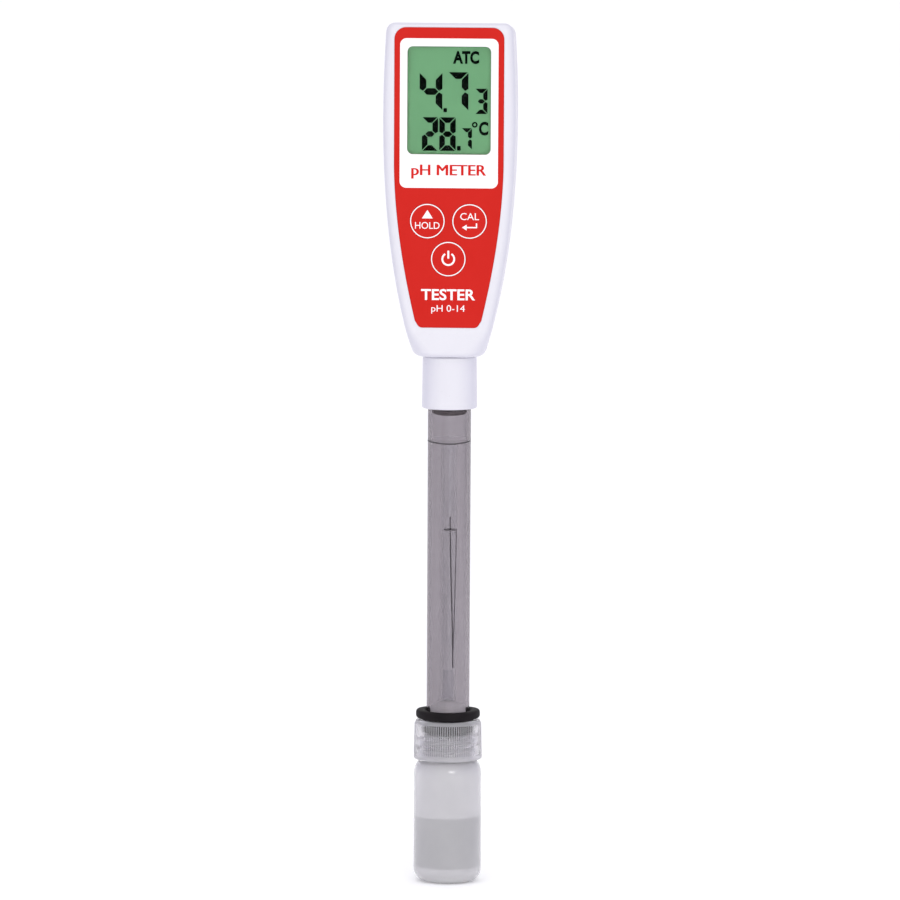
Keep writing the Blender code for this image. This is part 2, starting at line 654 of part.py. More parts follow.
def make_sensor_connection():
    """The bushing in the head's neck, the socket inside it and its lead to the board."""
    flange_low = HEAD_BOTTOM_Z + BOTTOM_WALL + GAP
    flange_high = flange_low + BUSHING_FLANGE_HEIGHT
    spigot_low = COLLAR_BOTTOM_Z + COLLAR_LIP + GAP + FLANGE_HEIGHT + ORING_ROOM
    bushing = [
        (SPIGOT_BORE, spigot_low),
        (SPIGOT_RADIUS, spigot_low),
        (SPIGOT_RADIUS, flange_low),
        (BUSHING_FLANGE_RADIUS, flange_low),
        (BUSHING_FLANGE_RADIUS, flange_high),
        (SPIGOT_BORE, flange_high),
    ]
    finish_object("neck_bushing", turned(bushing), WHITE_ABS)
    outer = SPIGOT_BORE - GAP
    low, high = SOCKET_BOTTOM_Z, SOCKET_TOP_Z
    pin_bore = PIN_RADIUS + GAP
    pin_top = PLUG_TOP_Z + GAP + PIN_LENGTH + 0.8 * MM
    socket = [
        (PLUG_POST_RADIUS + GAP, low),
        (outer, low),
        (outer, high),
        (0.0, high),
        (0.0, pin_top),
        (pin_bore, pin_top),
        (pin_bore, PLUG_TOP_Z + GAP),
        (PLUG_POST_RADIUS + GAP, PLUG_TOP_Z + GAP),
    ]
    finish_object("sensor_socket", turned_cup(socket), BLACK_PLASTIC)
    start = Vector((0.0, 0.0, high + GAP))
    end = Vector((0.0, PCB_BACK_Y + GAP + LEAD_RADIUS, LEAD_TOP_Z))
    route = [start, start + Vector((0.0, 0.6 * MM, 4 * MM)), end - Vector((0.0, -2.6 * MM, 3.5 * MM)), end]
    points = [bezier(route, step / 10.0) for step in range(11)]
    tube_along("sensor_lead", points, LEAD_RADIUS, LEAD_JACKET, 8)


def turned_cup(profile, sides=ROUND):
    """Spins a profile that meets the axis in the middle of its list of points."""
    axis_points = [index for index, point in enumerate(profile) if point[0] == 0.0]
    first = axis_points[1]
    return turned(profile[first:] + profile[:first], sides)


# ---- battery bay ---------------------------------------------------------------------------------------

def make_battery_bay():
    tray = finish_object(
        "battery_tray",
        box((-TRAY_HALF_WIDTH, TRAY_FRONT_Y, TRAY_BOTTOM_Z), (TRAY_HALF_WIDTH, TRAY_BACK_Y, TRAY_TOP_Z)),
        BLACK_PLASTIC,
    )
    half = TRAY_HALF_WIDTH - TRAY_WALL
    low, high = TRAY_BOTTOM_Z + TRAY_WALL, TRAY_TOP_Z - TRAY_WALL
    boolean(tray, cutter("tray_hollow", box((-half, TRAY_FRONT_Y + TRAY_WALL, low), (half, FAR, high))))
    for name, side in (("left", -1), ("right", 1)):
        make_cell(f"battery_{name}", (side * CELL_X, CELL_Y), nub_up=side < 0)
    make_contacts(low, high)


def make_cell(name, center, nub_up):
    low, high = 0.0, CELL_LENGTH
    nub = high - CELL_NUB_HEIGHT
    bevel = 0.4 * MM
    profile = [
        (0.0, low),
        (CELL_RADIUS - bevel, low),
        (CELL_RADIUS, low + bevel),
        (CELL_RADIUS, nub - bevel),
        (CELL_RADIUS - bevel, nub),
        (CELL_NUB_RADIUS, nub),
        (CELL_NUB_RADIUS, high),
        (0.0, high),
    ]
    if not nub_up:
        profile = [(radius, CELL_LENGTH - height) for radius, height in reversed(profile)]
    placed = [(radius, height + CELL_BOTTOM_Z) for radius, height in profile]
    finish_object(name, turned(placed, 24, center), CELL_JACKET)


def contact_coil(name, base, height):
    """A conical contact spring of two turns."""
    turns, per_turn = 2, 12
    points = []
    for step in range(turns * per_turn + 1):
        share = step / (turns * per_turn)
        angle = 2 * math.pi * turns * share
        radius = blended(SPRING_WIDE, SPRING_NARROW, share)
        points.append(base + Vector((radius * math.cos(angle), radius * math.sin(angle), height * share)))
    tube_along(name, points, SPRING_WIRE_RADIUS, STEEL, 6)


def make_contacts(low, high):
    """Springs, a plate and a bridge that join the two cells in series."""
    cell_top = CELL_BOTTOM_Z + CELL_LENGTH
    plate_low = low + GAP
    corner = (CONTACT_OUTER, CONTACT_BACK_Y, plate_low + CONTACT_THICKNESS)
    finish_object("contact_plate", box((CONTACT_INNER, CONTACT_FRONT_Y, plate_low), corner), STEEL)
    bridge_low = high - GAP - CONTACT_THICKNESS
    corner = (CONTACT_OUTER, CONTACT_BACK_Y, high - GAP)
    finish_object("contact_bridge", box((-CONTACT_OUTER, CONTACT_FRONT_Y, bridge_low), corner), STEEL)
    base = low + GAP + SPRING_WIRE_RADIUS
    rise = CELL_BOTTOM_Z - GAP - SPRING_WIRE_RADIUS - base
    contact_coil("contact_spring_lower", Vector((-CELL_X, CELL_Y, base)), rise)
    base = bridge_low - GAP / 2 - SPRING_WIRE_RADIUS
    drop = cell_top + GAP / 2 + SPRING_WIRE_RADIUS - base
    contact_coil("contact_spring_upper", Vector((CELL_X, CELL_Y, base)), drop)


# ---- probe ---------------------------------------------------------------------------------------------

def make_electrode():
    top = COLLAR_BOTTOM_Z + COLLAR_LIP
    tube = [(TUBE_BORE, TIP_Z), (TUBE_RADIUS - 0.4 * MM, TIP_Z), (TUBE_RADIUS, TIP_Z + 0.4 * MM)]
    tube += [(TUBE_RADIUS, top), (TUBE_BORE, top)]
    body = finish_object("electrode_tube", turned(tube), SMOKY_PLASTIC)
    half = GUARD_SLOT / 2
    slot_top = TIP_Z + GUARD_HEIGHT
    boolean(body, cutter("guard_slot_x", box((-FAR, -half, 0.0), (FAR, half, slot_top))))
    boolean(body, cutter("guard_slot_y", box((-half, -FAR, 0.0), (half, FAR, slot_top))))
    make_glassware()
    make_wires()
    make_probe_plug()


def make_glassware():
    join_z = BULB_Z + math.sqrt(BULB_RADIUS ** 2 - STEM_RADIUS ** 2)
    neck_top = JUNCTION_Z - 0.6 * MM
    join_angle = math.degrees(math.asin((join_z - BULB_Z) / BULB_RADIUS))
    outside = arc((0.0, BULB_Z), (BULB_RADIUS, BULB_RADIUS), -90, join_angle, 6)
    outside[0] = (0.0, BULB_Z - BULB_RADIUS)
    small = BULB_RADIUS - BULB_WALL
    inner_angle = math.degrees(math.acos(STEM_BORE / small))
    inside = arc((0.0, BULB_Z), (small, small), inner_angle, -90, 6)
    inside[-1] = (0.0, BULB_Z - small)
    profile = outside + [(STEM_RADIUS, neck_top), (STEM_BORE, neck_top)] + inside
    finish_object("glass_bulb", turned(profile, 16), GLASS)
    stem_low = JUNCTION_Z - GAP
    stem_high = SEAL_DISC_Z - GAP
    stem = [(STEM_BORE, stem_low), (STEM_RADIUS, stem_low), (STEM_RADIUS, stem_high), (STEM_BORE, stem_high)]
    finish_object("glass_stem", turned(stem, 20), GLASS)
    fill = cylinder(STEM_BORE - 0.2 * MM, stem_low, FILL_TOP_Z, 16)
    finish_object("inner_fill", fill, LIQUID)


def make_wires():
    finish_object("silver_wire", cylinder(WIRE_RADIUS, WIRE_BOTTOM_Z, WIRE_TOP_Z, 8, WIRE_PLACE), SILVER)
    disc_low, disc_high = WIRE_DISC_Z - DISC_THICKNESS / 2, WIRE_DISC_Z + DISC_THICKNESS / 2
    wire_hole = circle(WIRE_RADIUS + 0.2 * MM, WIRE_PLACE, 8)
    disc = plate(circle(STEM_BORE - 0.15 * MM, (0.0, 0.0), 16), disc_low, disc_high, [wire_hole], "Z")
    finish_object("wire_disc", disc, GREY_PLASTIC)
    reference = cylinder(WIRE_RADIUS, REFERENCE_BOTTOM_Z, REFERENCE_TOP_Z, 8, REFERENCE_PLACE)
    finish_object("reference_wire", reference, SILVER)
    lead = cylinder(SIGNAL_LEAD_RADIUS, WIRE_TOP_Z + GAP, PLUG_BOTTOM_Z - GAP, 8, WIRE_PLACE)
    finish_object("signal_lead", lead, LEAD_JACKET)
    sleeve_place = (0.0, THERMISTOR_OFFSET)
    sleeve_top = JUNCTION_Z + JUNCTION_HEIGHT + 0.5 * MM
    sleeve = turned(
        [
            (0.0, THERMISTOR_TIP_Z),
            (THERMISTOR_RADIUS * 0.6, THERMISTOR_TIP_Z),
            (THERMISTOR_RADIUS, THERMISTOR_TIP_Z + 0.5 * MM),
            (THERMISTOR_RADIUS, sleeve_top),
            (0.0, sleeve_top),
        ],
        SMALL_ROUND,
        sleeve_place,
    )
    finish_object("thermistor", sleeve, STEEL)
    warm_lead = cylinder(WARM_LEAD_RADIUS, sleeve_top + GAP, PLUG_BOTTOM_Z - GAP, 8, sleeve_place)
    finish_object("thermistor_lead", warm_lead, LEAD_JACKET)
    junction = plate(
        circle(TUBE_BORE - 0.2 * MM, (0.0, 0.0), 24),
        JUNCTION_Z,
        JUNCTION_Z + JUNCTION_HEIGHT,
        [circle(STEM_RADIUS + 0.25 * MM, (0.0, 0.0), 20), circle(THERMISTOR_RADIUS + 0.2 * MM, sleeve_place, 10)],
        "Z",
    )
    finish_object("tip_plug", junction, GREY_PLASTIC)
    seal = plate(
        circle(TUBE_BORE - 0.25 * MM, (0.0, 0.0), 24),
        SEAL_DISC_Z,
        SEAL_DISC_Z + SEAL_DISC_HEIGHT,
        [circle(2 * SIGNAL_LEAD_RADIUS, WIRE_PLACE, 12), circle(2.5 * WARM_LEAD_RADIUS, sleeve_place, 10)],
        "Z",
    )
    finish_object("seal_disc", seal, BLACK_RUBBER)


def make_probe_plug():
    """The plug that closes the probe's top, its pin, and the O-ring under the head's spigot."""
    flange_low = COLLAR_BOTTOM_Z + COLLAR_LIP + GAP
    flange_high = flange_low + FLANGE_HEIGHT
    profile = [
        (0.0, PLUG_BOTTOM_Z),
        (TUBE_BORE - 0.2 * MM, PLUG_BOTTOM_Z),
        (TUBE_BORE - 0.2 * MM, flange_low),
        (COLLAR_BORE - GAP, flange_low),
        (COLLAR_BORE - GAP, flange_high),
        (PLUG_POST_RADIUS, flange_high),
        (PLUG_POST_RADIUS, PLUG_TOP_Z),
        (0.0, PLUG_TOP_Z),
    ]
    finish_object("electrode_plug", turned(profile), BLACK_PLASTIC)
    pin_low = PLUG_TOP_Z + GAP
    pin = cylinder(PIN_RADIUS, pin_low, pin_low + PIN_LENGTH)
    finish_object("connector_pin", pin, BRASS)
    ring_middle = (5.7 * MM, flange_high + 0.16 * MM + ORING_THICKNESS)
    ring = arc(ring_middle, (ORING_THICKNESS, ORING_THICKNESS), 0, 300, 5)
    finish_object("collar_oring", turned(ring), BLACK_RUBBER)


def make_collar_nut():
    low = COLLAR_BOTTOM_Z
    high = HEAD_BOTTOM_Z - GAP
    lip_top = low + COLLAR_LIP
    edge = 0.5 * MM
    profile = [(TUBE_RADIUS + 0.2 * MM, low)]
    profile += arc((COLLAR_BOTTOM_RADIUS - edge, low + edge), (edge, edge), -90, 0, 3)
    profile += [(COLLAR_TOP_RADIUS, high), (COLLAR_BORE, high), (COLLAR_BORE, lip_top), (TUBE_RADIUS + 0.2 * MM, lip_top)]
    finish_object("collar_nut", turned(profile), WHITE_ABS)


# ---- storage bottle --------------------------------------------------------------------------------------

def make_bottle():
    corner = BOTTLE_BASE_CORNER
    inner = BOTTLE_RADIUS - BOTTLE_WALL
    shoulder = (BOTTLE_RADIUS - NECK_RADIUS, BOTTLE_NECK_Z - BOTTLE_SHOULDER_Z)
    outside = [(0.0, 0.0)]
    outside += arc((BOTTLE_RADIUS - corner, corner), (corner, corner), -90, 0, 6)
    outside += arc((NECK_RADIUS, BOTTLE_SHOULDER_Z), shoulder, 0, 90, 5)
    outside += [(NECK_RADIUS, BOTTLE_TOP_Z), (NECK_BORE, BOTTLE_TOP_Z)]
    inside = arc((NECK_BORE, BOTTLE_SHOULDER_Z - 1.0 * MM), (inner - NECK_BORE, 2.5 * MM), 90, 0, 4)
    inside += arc((inner - 2.6 * MM, 4.3 * MM), (2.6 * MM, 2.6 * MM), 0, -90, 4)
    inside += [(0.0, 1.9 * MM)]
    finish_object("storage_bottle", turned(outside + inside), MILKY_PLASTIC)
    liquid_radius = inner - 0.25 * MM
    probe_gap = TUBE_RADIUS + GAP
    liquid = [(0.0, 2.2 * MM)]
    liquid += arc((liquid_radius - 2.4 * MM, 4.5 * MM), (2.4 * MM, 2.4 * MM), -90, 0, 4)
    liquid += [(liquid_radius, SOLUTION_TOP_Z), (probe_gap, SOLUTION_TOP_Z)]
    liquid += [(probe_gap, TIP_Z - GAP), (0.0, TIP_Z - GAP)]
    finish_object("storage_solution", turned(liquid), LIQUID)


def make_cap():
    inner_roof = CAP_TOP_Z - CAP_ROOF
    bead = 1.0 * MM
    edge = 0.5 * MM
    profile = [
        (CAP_BORE, CAP_BOTTOM_Z),
        (CAP_BOTTOM_RADIUS, CAP_BOTTOM_Z),
        (CAP_BOTTOM_RADIUS, CAP_BOTTOM_Z + bead),
        (CAP_TOP_RADIUS, CAP_TOP_Z - edge),
        (CAP_TOP_RADIUS - edge, CAP_TOP_Z),
        (CAP_ROOF_HOLE, CAP_TOP_Z),
        (CAP_ROOF_HOLE, inner_roof),
        (CAP_BORE, inner_roof),
    ]
    finish_object("storage_cap", turned(profile), CLEAR_PLASTIC)


def make_grommet():
    lower_top = CAP_TOP_Z - CAP_ROOF - GAP
    lower_low = lower_top - GROMMET_LOWER_HEIGHT
    upper_low = GROMMET_TOP_Z - GROMMET_TOP_HEIGHT
    profile = [
        (GROMMET_BORE, lower_low),
        (GROMMET_LOWER_RADIUS, lower_low),
        (GROMMET_LOWER_RADIUS, lower_top),
        (GROMMET_NECK_RADIUS, lower_top),
        (GROMMET_NECK_RADIUS, upper_low),
        (GROMMET_TOP_RADIUS, upper_low),
        (GROMMET_TOP_RADIUS, GROMMET_TOP_Z),
        (GROMMET_BORE, GROMMET_TOP_Z),
    ]
    finish_object("cap_grommet", turned(profile), BLACK_RUBBER)


def main():
    clear_scene()
    inner = cutter("head_hollow", inner_head())
    make_front_shell(inner)
    make_rear_shell(inner)
    make_battery_cover()
    make_screws()
    make_face()
    make_keys()
    make_board()
    make_sensor_connection()
    make_battery_bay()
    make_electrode()
    make_collar_nut()
    make_bottle()
    make_cap()
    make_grommet()


main()
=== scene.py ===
"""The looks of a pen-type digital pH meter standing in its storage bottle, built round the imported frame."""
import json
import math

import bmesh
import bpy
from mathutils import Matrix, Vector


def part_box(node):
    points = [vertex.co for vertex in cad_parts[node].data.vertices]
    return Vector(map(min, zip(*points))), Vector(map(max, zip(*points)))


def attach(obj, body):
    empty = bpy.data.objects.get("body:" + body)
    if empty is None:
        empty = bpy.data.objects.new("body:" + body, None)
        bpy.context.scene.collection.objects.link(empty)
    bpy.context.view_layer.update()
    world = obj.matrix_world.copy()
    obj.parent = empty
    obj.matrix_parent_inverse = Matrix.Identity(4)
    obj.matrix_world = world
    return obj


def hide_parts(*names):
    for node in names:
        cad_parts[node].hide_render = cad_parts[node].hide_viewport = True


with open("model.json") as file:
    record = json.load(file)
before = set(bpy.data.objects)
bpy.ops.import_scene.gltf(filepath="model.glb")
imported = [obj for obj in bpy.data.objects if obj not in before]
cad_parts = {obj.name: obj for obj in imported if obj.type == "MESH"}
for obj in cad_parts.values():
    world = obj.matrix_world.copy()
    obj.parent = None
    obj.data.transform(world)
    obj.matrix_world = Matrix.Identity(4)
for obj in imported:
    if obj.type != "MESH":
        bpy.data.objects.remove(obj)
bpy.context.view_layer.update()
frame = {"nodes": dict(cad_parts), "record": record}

MM = 0.001


# ---- places that come from the frame ----

def low(node):
    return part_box(node)[0]


def high(node):
    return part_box(node)[1]


def front_middle(node):
    """The (x, z) middle of a node's box, as seen from the front."""
    lowest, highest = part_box(node)
    return (lowest.x + highest.x) / 2, (lowest.z + highest.z) / 2


def span(node):
    """A node's lowest and highest z."""
    lowest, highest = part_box(node)
    return lowest.z, highest.z


HEAD_BOTTOM = low("front_shell").z
HEAD_TOP = 241.2 * MM  # before the top is sloped
OVERLAY_FRONT = low("face_overlay").y
OVERLAY_BACK = high("face_overlay").y
OVERLAY_TOP = high("face_overlay").z
OVERLAY_BOTTOM = low("face_overlay").z
OVERLAY_HALF = high("face_overlay").x
FACE_Y = OVERLAY_FRONT + 0.1 * MM
BACK_Y = high("rear_shell").y
SEAM = (high("front_shell").y + low("rear_shell").y) / 2
COVER_LOW, COVER_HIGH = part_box("battery_cover")
LCD_FRONT = low("lcd_panel").y
DISPLAY_Z = front_middle("lcd_panel")[1]
KEYS = {name: front_middle(f"key_{name}") for name in ("hold", "cal", "power")}
KEY_RADIUS = 4.8 * MM
KEY_FRONT = low("key_hold").y
KEY_BACK = high("key_hold").y
PRINT = 0.03 * MM  # thickness of printed ink


# ---- mesh helpers ----

SHARP_ANGLE = 35  # degrees between faces from which an edge is shaded sharp


def new_object(name, data):
    made = bpy.data.objects.new(name, data)
    bpy.context.scene.collection.objects.link(made)
    return made


def mesh_of(name, bm):
    """Turns a bmesh into a mesh whose faces look outward, and frees the bmesh."""
    bmesh.ops.recalc_face_normals(bm, faces=bm.faces)
    mesh = bpy.data.meshes.new(name)
    bm.to_mesh(mesh)
    bm.free()
    return mesh


def add_piece(name, bm, body, slot, replaces=(), smooth_angle=SHARP_ANGLE, finish=None):
    """Makes a mesh piece from a bmesh in the frame's space, and fastens it to its body.

    The finish is the one that has the slot's name, unless another is named.
    """
    mesh = mesh_of(name, bm)
    mesh.shade_smooth()
    mesh.set_sharp_from_angle(angle=math.radians(smooth_angle))
    mesh.materials.append(FINISHES[finish or slot])
    piece = new_object(name, mesh)
    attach(piece, body)
    if replaces:
        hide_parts(*replaces)
    return piece


def cut(piece, bm, operation="DIFFERENCE"):
    """Applies a Boolean with a mesh that is thrown away afterwards."""
    mesh = mesh_of("tool", bm)
    tool = new_object("tool", mesh)
    modifier = piece.modifiers.new("cut", "BOOLEAN")
    modifier.operation = operation
    modifier.solver = "EXACT"
    modifier.object = tool
    apply_modifiers(piece)
    bpy.data.objects.remove(tool)
    bpy.data.meshes.remove(mesh)


def apply_modifiers(piece):
    bpy.context.view_layer.update()
    evaluated = piece.evaluated_get(bpy.context.evaluated_depsgraph_get())
    mesh = bpy.data.meshes.new_from_object(evaluated)
    piece.modifiers.clear()
    old = piece.data
    piece.data = mesh
    mesh.name = piece.name
    bpy.data.meshes.remove(old)


def resharpen(piece):
    piece.data.shade_smooth()
    piece.data.set_sharp_from_angle(angle=math.radians(SHARP_ANGLE))


def weigh_normals(piece):
    """Large flat faces keep their own direction next to narrow rounded ones."""
    modifier = piece.modifiers.new("normals", "WEIGHTED_NORMAL")
    modifier.keep_sharp = True
    modifier.weight = 90


def soften(piece, width):
    """Rounds the edges that turn by more than 40 degrees."""
    modifier = piece.modifiers.new("soft_edges", "BEVEL")
    modifier.width = width
    modifier.segments = 2
    modifier.limit_method = "ANGLE"
    modifier.angle_limit = math.radians(40)
    modifier.harden_normals = True


def arc(center, radii, start, end, steps):
    points = []
    for step in range(steps + 1):
        angle = math.radians(start + (end - start) * step / steps)
        points.append((center[0] + radii[0] * math.cos(angle), center[1] + radii[1] * math.sin(angle)))
    return points


def circle(radius, center, sides=64):
    return arc(center, (radius, radius), 0, 360 - 360 / sides, sides - 1)


def rounded_rectangle(width, height, corner, center=(0.0, 0.0), steps=10):
    points = []
    for turn, (side, level) in enumerate(((1, 1), (-1, 1), (-1, -1), (1, -1))):
        middle = (center[0] + side * (width / 2 - corner), center[1] + level * (height / 2 - corner))
        points += arc(middle, (corner, corner), 90 * turn, 90 * turn + 90, steps)
    return points


def lathe(profile, sides=96, center=(0.0, 0.0), axis="Z", ripple=None):
    """Spins (radius, height) points round an axis. ripple(index, angle) adds to a ring's radius."""
    bm = bmesh.new()
    rings = []
    for index, (radius, height) in enumerate(profile):
        count = 1 if radius == 0.0 else sides
        ring = []
        for step in range(count):
            angle = 2.0 * math.pi * step / sides
            grown = radius + (ripple(index, angle) if ripple else 0.0)
            across = center[0] + grown * math.cos(angle)
            along = center[1] + grown * math.sin(angle)
            ring.append(bm.verts.new((across, along, height) if axis == "Z" else (across, height, along)))
        rings.append(ring)
    closed = profile[0][0] > 0.0 and profile[-1][0] > 0.0
    pairs = zip(rings, rings[1:] + rings[:1]) if closed else zip(rings, rings[1:])
    for lower, upper in pairs:
        for step in range(sides):
            after = (step + 1) % sides
            corners = [lower[step % len(lower)], lower[after % len(lower)]]
            corners += [upper[after % len(upper)], upper[step % len(upper)]]
            unique = list(dict.fromkeys(corners))
            if len(unique) > 2:
                bm.faces.new(unique)
    return bm


def rounded_profile(points, radius, steps=3):
    """Replaces each corner of a closed (radius, height) profile that is off the axis by a small fillet."""
    result = []
    count = len(points)
    for index, point in enumerate(points):
        here = Vector(point)
        before = Vector(points[index - 1]) - here
        after = Vector(points[(index + 1) % count]) - here
        on_axis = point[0] == 0.0
        reach = min(radius, before.length * 0.45, after.length * 0.45)
        if on_axis or reach < 0.01 * MM:
            result.append(point)
            continue
        start = here + before.normalized() * reach
        end = here + after.normalized() * reach
        for step in range(steps + 1):
            share = step / steps
            spot = start * (1 - share) ** 2 + here * 2 * share * (1 - share) + end * share ** 2
            result.append((spot.x, spot.y))
    return result


def ring_profile(inner, outer, bottom, top):
    return [(inner, bottom), (outer, bottom), (outer, top), (inner, top)]


def rod(radius, bottom, top, sides=64, center=(0.0, 0.0), axis="Z"):
    return lathe(ring_profile(0.0, radius, bottom, top), sides, center, axis)


def thicken(bm, depth):
    """Extrudes flat faces along Y and keeps the faces they started from."""
    grown = bmesh.ops.extrude_face_region(bm, geom=list(bm.faces), use_keep_orig=True)
    moved = [item for item in grown["geom"] if isinstance(item, bmesh.types.BMVert)]
    bmesh.ops.translate(bm, verts=moved, vec=(0.0, depth, 0.0))


def plate(outline, front, back, holes=()):
    """A flat piece with holes that faces the front. The outlines' points are (x, z)."""
    bm = bmesh.new()
    for loop in (outline, *holes):
        verts = [bm.verts.new((x, front, z)) for x, z in loop]
        for first, second in zip(verts, verts[1:] + verts[:1]):
            bm.edges.new((first, second))
    bmesh.ops.triangle_fill(bm, use_beauty=True, use_dissolve=False, edges=bm.edges)
    thicken(bm, back - front)
    return bm


def box(lowest, highest):
    bm = bmesh.new()
    size = Vector(highest) - Vector(lowest)
    middle = (Vector(highest) + Vector(lowest)) / 2.0
    bmesh.ops.create_cube(bm, size=1.0, matrix=Matrix.Translation(middle) @ Matrix.Diagonal((*size, 1.0)))
    return bm


def together(pieces):
    whole = bmesh.new()
    for bm in pieces:
        step = mesh_of("step", bm)
        whole.from_mesh(step)
        bpy.data.meshes.remove(step)
    return whole


def loft(bm, rings):
    """Joins rings that have the same number of points, and closes both ends."""
    for first, second in zip(rings, rings[1:]):
        for step in range(len(first)):
            after = (step + 1) % len(first)
            bm.faces.new((first[step], first[after], second[after], second[step]))
    bm.faces.new(rings[0])
    bm.faces.new(rings[-1])
    return bm


def swept(path, section):
    """A ridge with the section's (outward, upward) points, swept round the Z axis.

    The path holds places, and how far the section has grown at each.
    """
    bm = bmesh.new()
    rings = []
    for place, scale in path:
        outward = Vector((place.x, place.y, 0.0)).normalized()
        tall = 0.35 + 0.65 * scale
        ring = []
        for a, b in section:
            ring.append(bm.verts.new(place + outward * a * scale + Vector((0.0, 0.0, b * tall))))
        rings.append(ring)
    return loft(bm, rings)


def thread_ridge(radius, depth, start_z, pitch, turns, phase, half_height):
    """A helical thread ridge standing `depth` off a wall, run out at both ends."""
    steps = int(turns * 72)
    path = []
    for step in range(steps + 1):
        share = step / steps
        angle = phase + 2 * math.pi * turns * share
        run_out = min(1.0, min(share, 1 - share) * turns * 6)
        place = Vector((radius * math.cos(angle), radius * math.sin(angle), start_z + pitch * turns * share))
        path.append((place, max(run_out, 0.05)))
    buried = -0.1 * MM if depth > 0 else 0.1 * MM
    section = [(buried, -half_height), (depth * 0.8, -half_height * 0.45), (depth, -half_height * 0.2)]
    section += [(outward, -upward) for outward, upward in reversed(section)]
    return swept(path, section)


def round_wire(points, radius, sides=12):
    """A smooth wire through points, as a bmesh with closed ends."""
    bm = bmesh.new()
    rings = []
    for index, place in enumerate(points):
        ahead = points[min(index + 1, len(points) - 1)] - points[max(index - 1, 0)]
        turn = ahead.to_track_quat("Z", "Y")
        ring = []
        for step in range(sides):
            angle = 2 * math.pi * step / sides
            offset = Vector((radius * math.cos(angle), radius * math.sin(angle), 0.0))
            ring.append(bm.verts.new(place + turn @ offset))
        rings.append(ring)
    return loft(bm, rings)


def lettering(name, words, height, center, y, finish, body, slot, width=None, weight=0.0, bold=0.0):
    """Flat lettering that faces the front, `height` tall in all, its middle at center (x, z).

    Weight thickens the strokes all round, and bold thickens the upright ones by two shifted copies.
    """
    curve = bpy.data.curves.new(name, "FONT")
    curve.body = words
    curve.offset = weight
    curve.resolution_u = 4
    temporary = new_object(name, curve)
    bpy.context.view_layer.update()
    mesh = bpy.data.meshes.new_from_object(temporary.evaluated_get(bpy.context.evaluated_depsgraph_get()))
    bpy.data.objects.remove(temporary)
    bpy.data.curves.remove(curve)
    xs = [vert.co.x for vert in mesh.vertices]
    ys = [vert.co.y for vert in mesh.vertices]
    tall = height / (max(ys) - min(ys))
    wide = width / (max(xs) - min(xs)) if width else tall
    middle = ((max(xs) + min(xs)) / 2, (max(ys) + min(ys)) / 2)
    bm = bmesh.new()
    for shift in (-bold, 0.0, bold) if bold else (0.0,):
        bm.from_mesh(mesh)
        bm.verts.ensure_lookup_table()
        for vert in bm.verts[-len(mesh.vertices):]:
            across = center[0] + (vert.co.x - middle[0]) * wide + shift
            upward = center[1] + (vert.co.y - middle[1]) * tall
            vert.co = Vector((across, y + 0.05 * shift, upward))
    bpy.data.meshes.remove(mesh)
    bmesh.ops.remove_doubles(bm, verts=bm.verts, dist=0.0002 * MM)
    thicken(bm, PRINT)
    add_piece(name, bm, body, slot, finish=finish)


# ---- materials ----

FINISHES = {}


def set_inputs(node, values):
    """Sets a shader node's inputs. An underscore in an input's name stands for a space."""
    for socket, value in values.items():
        node.inputs[socket.replace("_", " ")].default_value = value


def add_node(nodes, kind, **values):
    node = nodes.new(f"ShaderNode{kind}")
    set_inputs(node, values)
    return node


def color_ramp(nodes, places, colors):
    """A ramp between two colours, each at its own place."""
    ramp = add_node(nodes, "ValToRGB")
    for element, place, color in zip(ramp.color_ramp.elements, places, colors):
        element.position = place
        element.color = (*color, 1.0)
    return ramp


def moulded(name, color, shade, roughness, grain, blotch=60.0, stretch=1.0, **fixed):
    """Adds a finish with a slow colour change, uneven gloss and a fine grain.

    color and shade are the two ends of the colour change, roughness the two ends of the gloss. grain is the
    scale and strength of the surface's bumps, blotch the scale of the colour change, and a stretch below 1
    draws the colour change out into upright streaks. fixed holds other inputs of the shader.
    """
    made = bpy.data.materials.new(name)
    made.use_nodes = True
    nodes, links = made.node_tree.nodes, made.node_tree.links
    shader = nodes["Principled BSDF"]
    set_inputs(shader, fixed)
    place = add_node(nodes, "TexCoord")
    slow = add_node(nodes, "TexNoise", Scale=blotch, Detail=3.0)
    fine = add_node(nodes, "TexNoise", Scale=grain[0], Detail=2.0)
    drawn = add_node(nodes, "Mapping", Scale=(1.0, 1.0, stretch))
    links.new(place.outputs["Object"], drawn.inputs["Vector"])
    links.new(drawn.outputs["Vector"], slow.inputs["Vector"])
    links.new(place.outputs["Object"], fine.inputs["Vector"])
    ramp = color_ramp(nodes, (0.35, 0.65), (shade, color))
    links.new(slow.outputs["Fac"], ramp.inputs["Fac"])
    links.new(ramp.outputs["Color"], shader.inputs["Base Color"])
    gloss = add_node(nodes, "MapRange", To_Min=roughness[0], To_Max=roughness[1])
    links.new(fine.outputs["Fac"], gloss.inputs["Value"])
    links.new(gloss.outputs["Result"], shader.inputs["Roughness"])
    bump = add_node(nodes, "Bump", Strength=grain[1], Distance=0.05 * MM)
    links.new(fine.outputs["Fac"], bump.inputs["Height"])
    links.new(bump.outputs["Normal"], shader.inputs["Normal"])
    FINISHES[name] = made


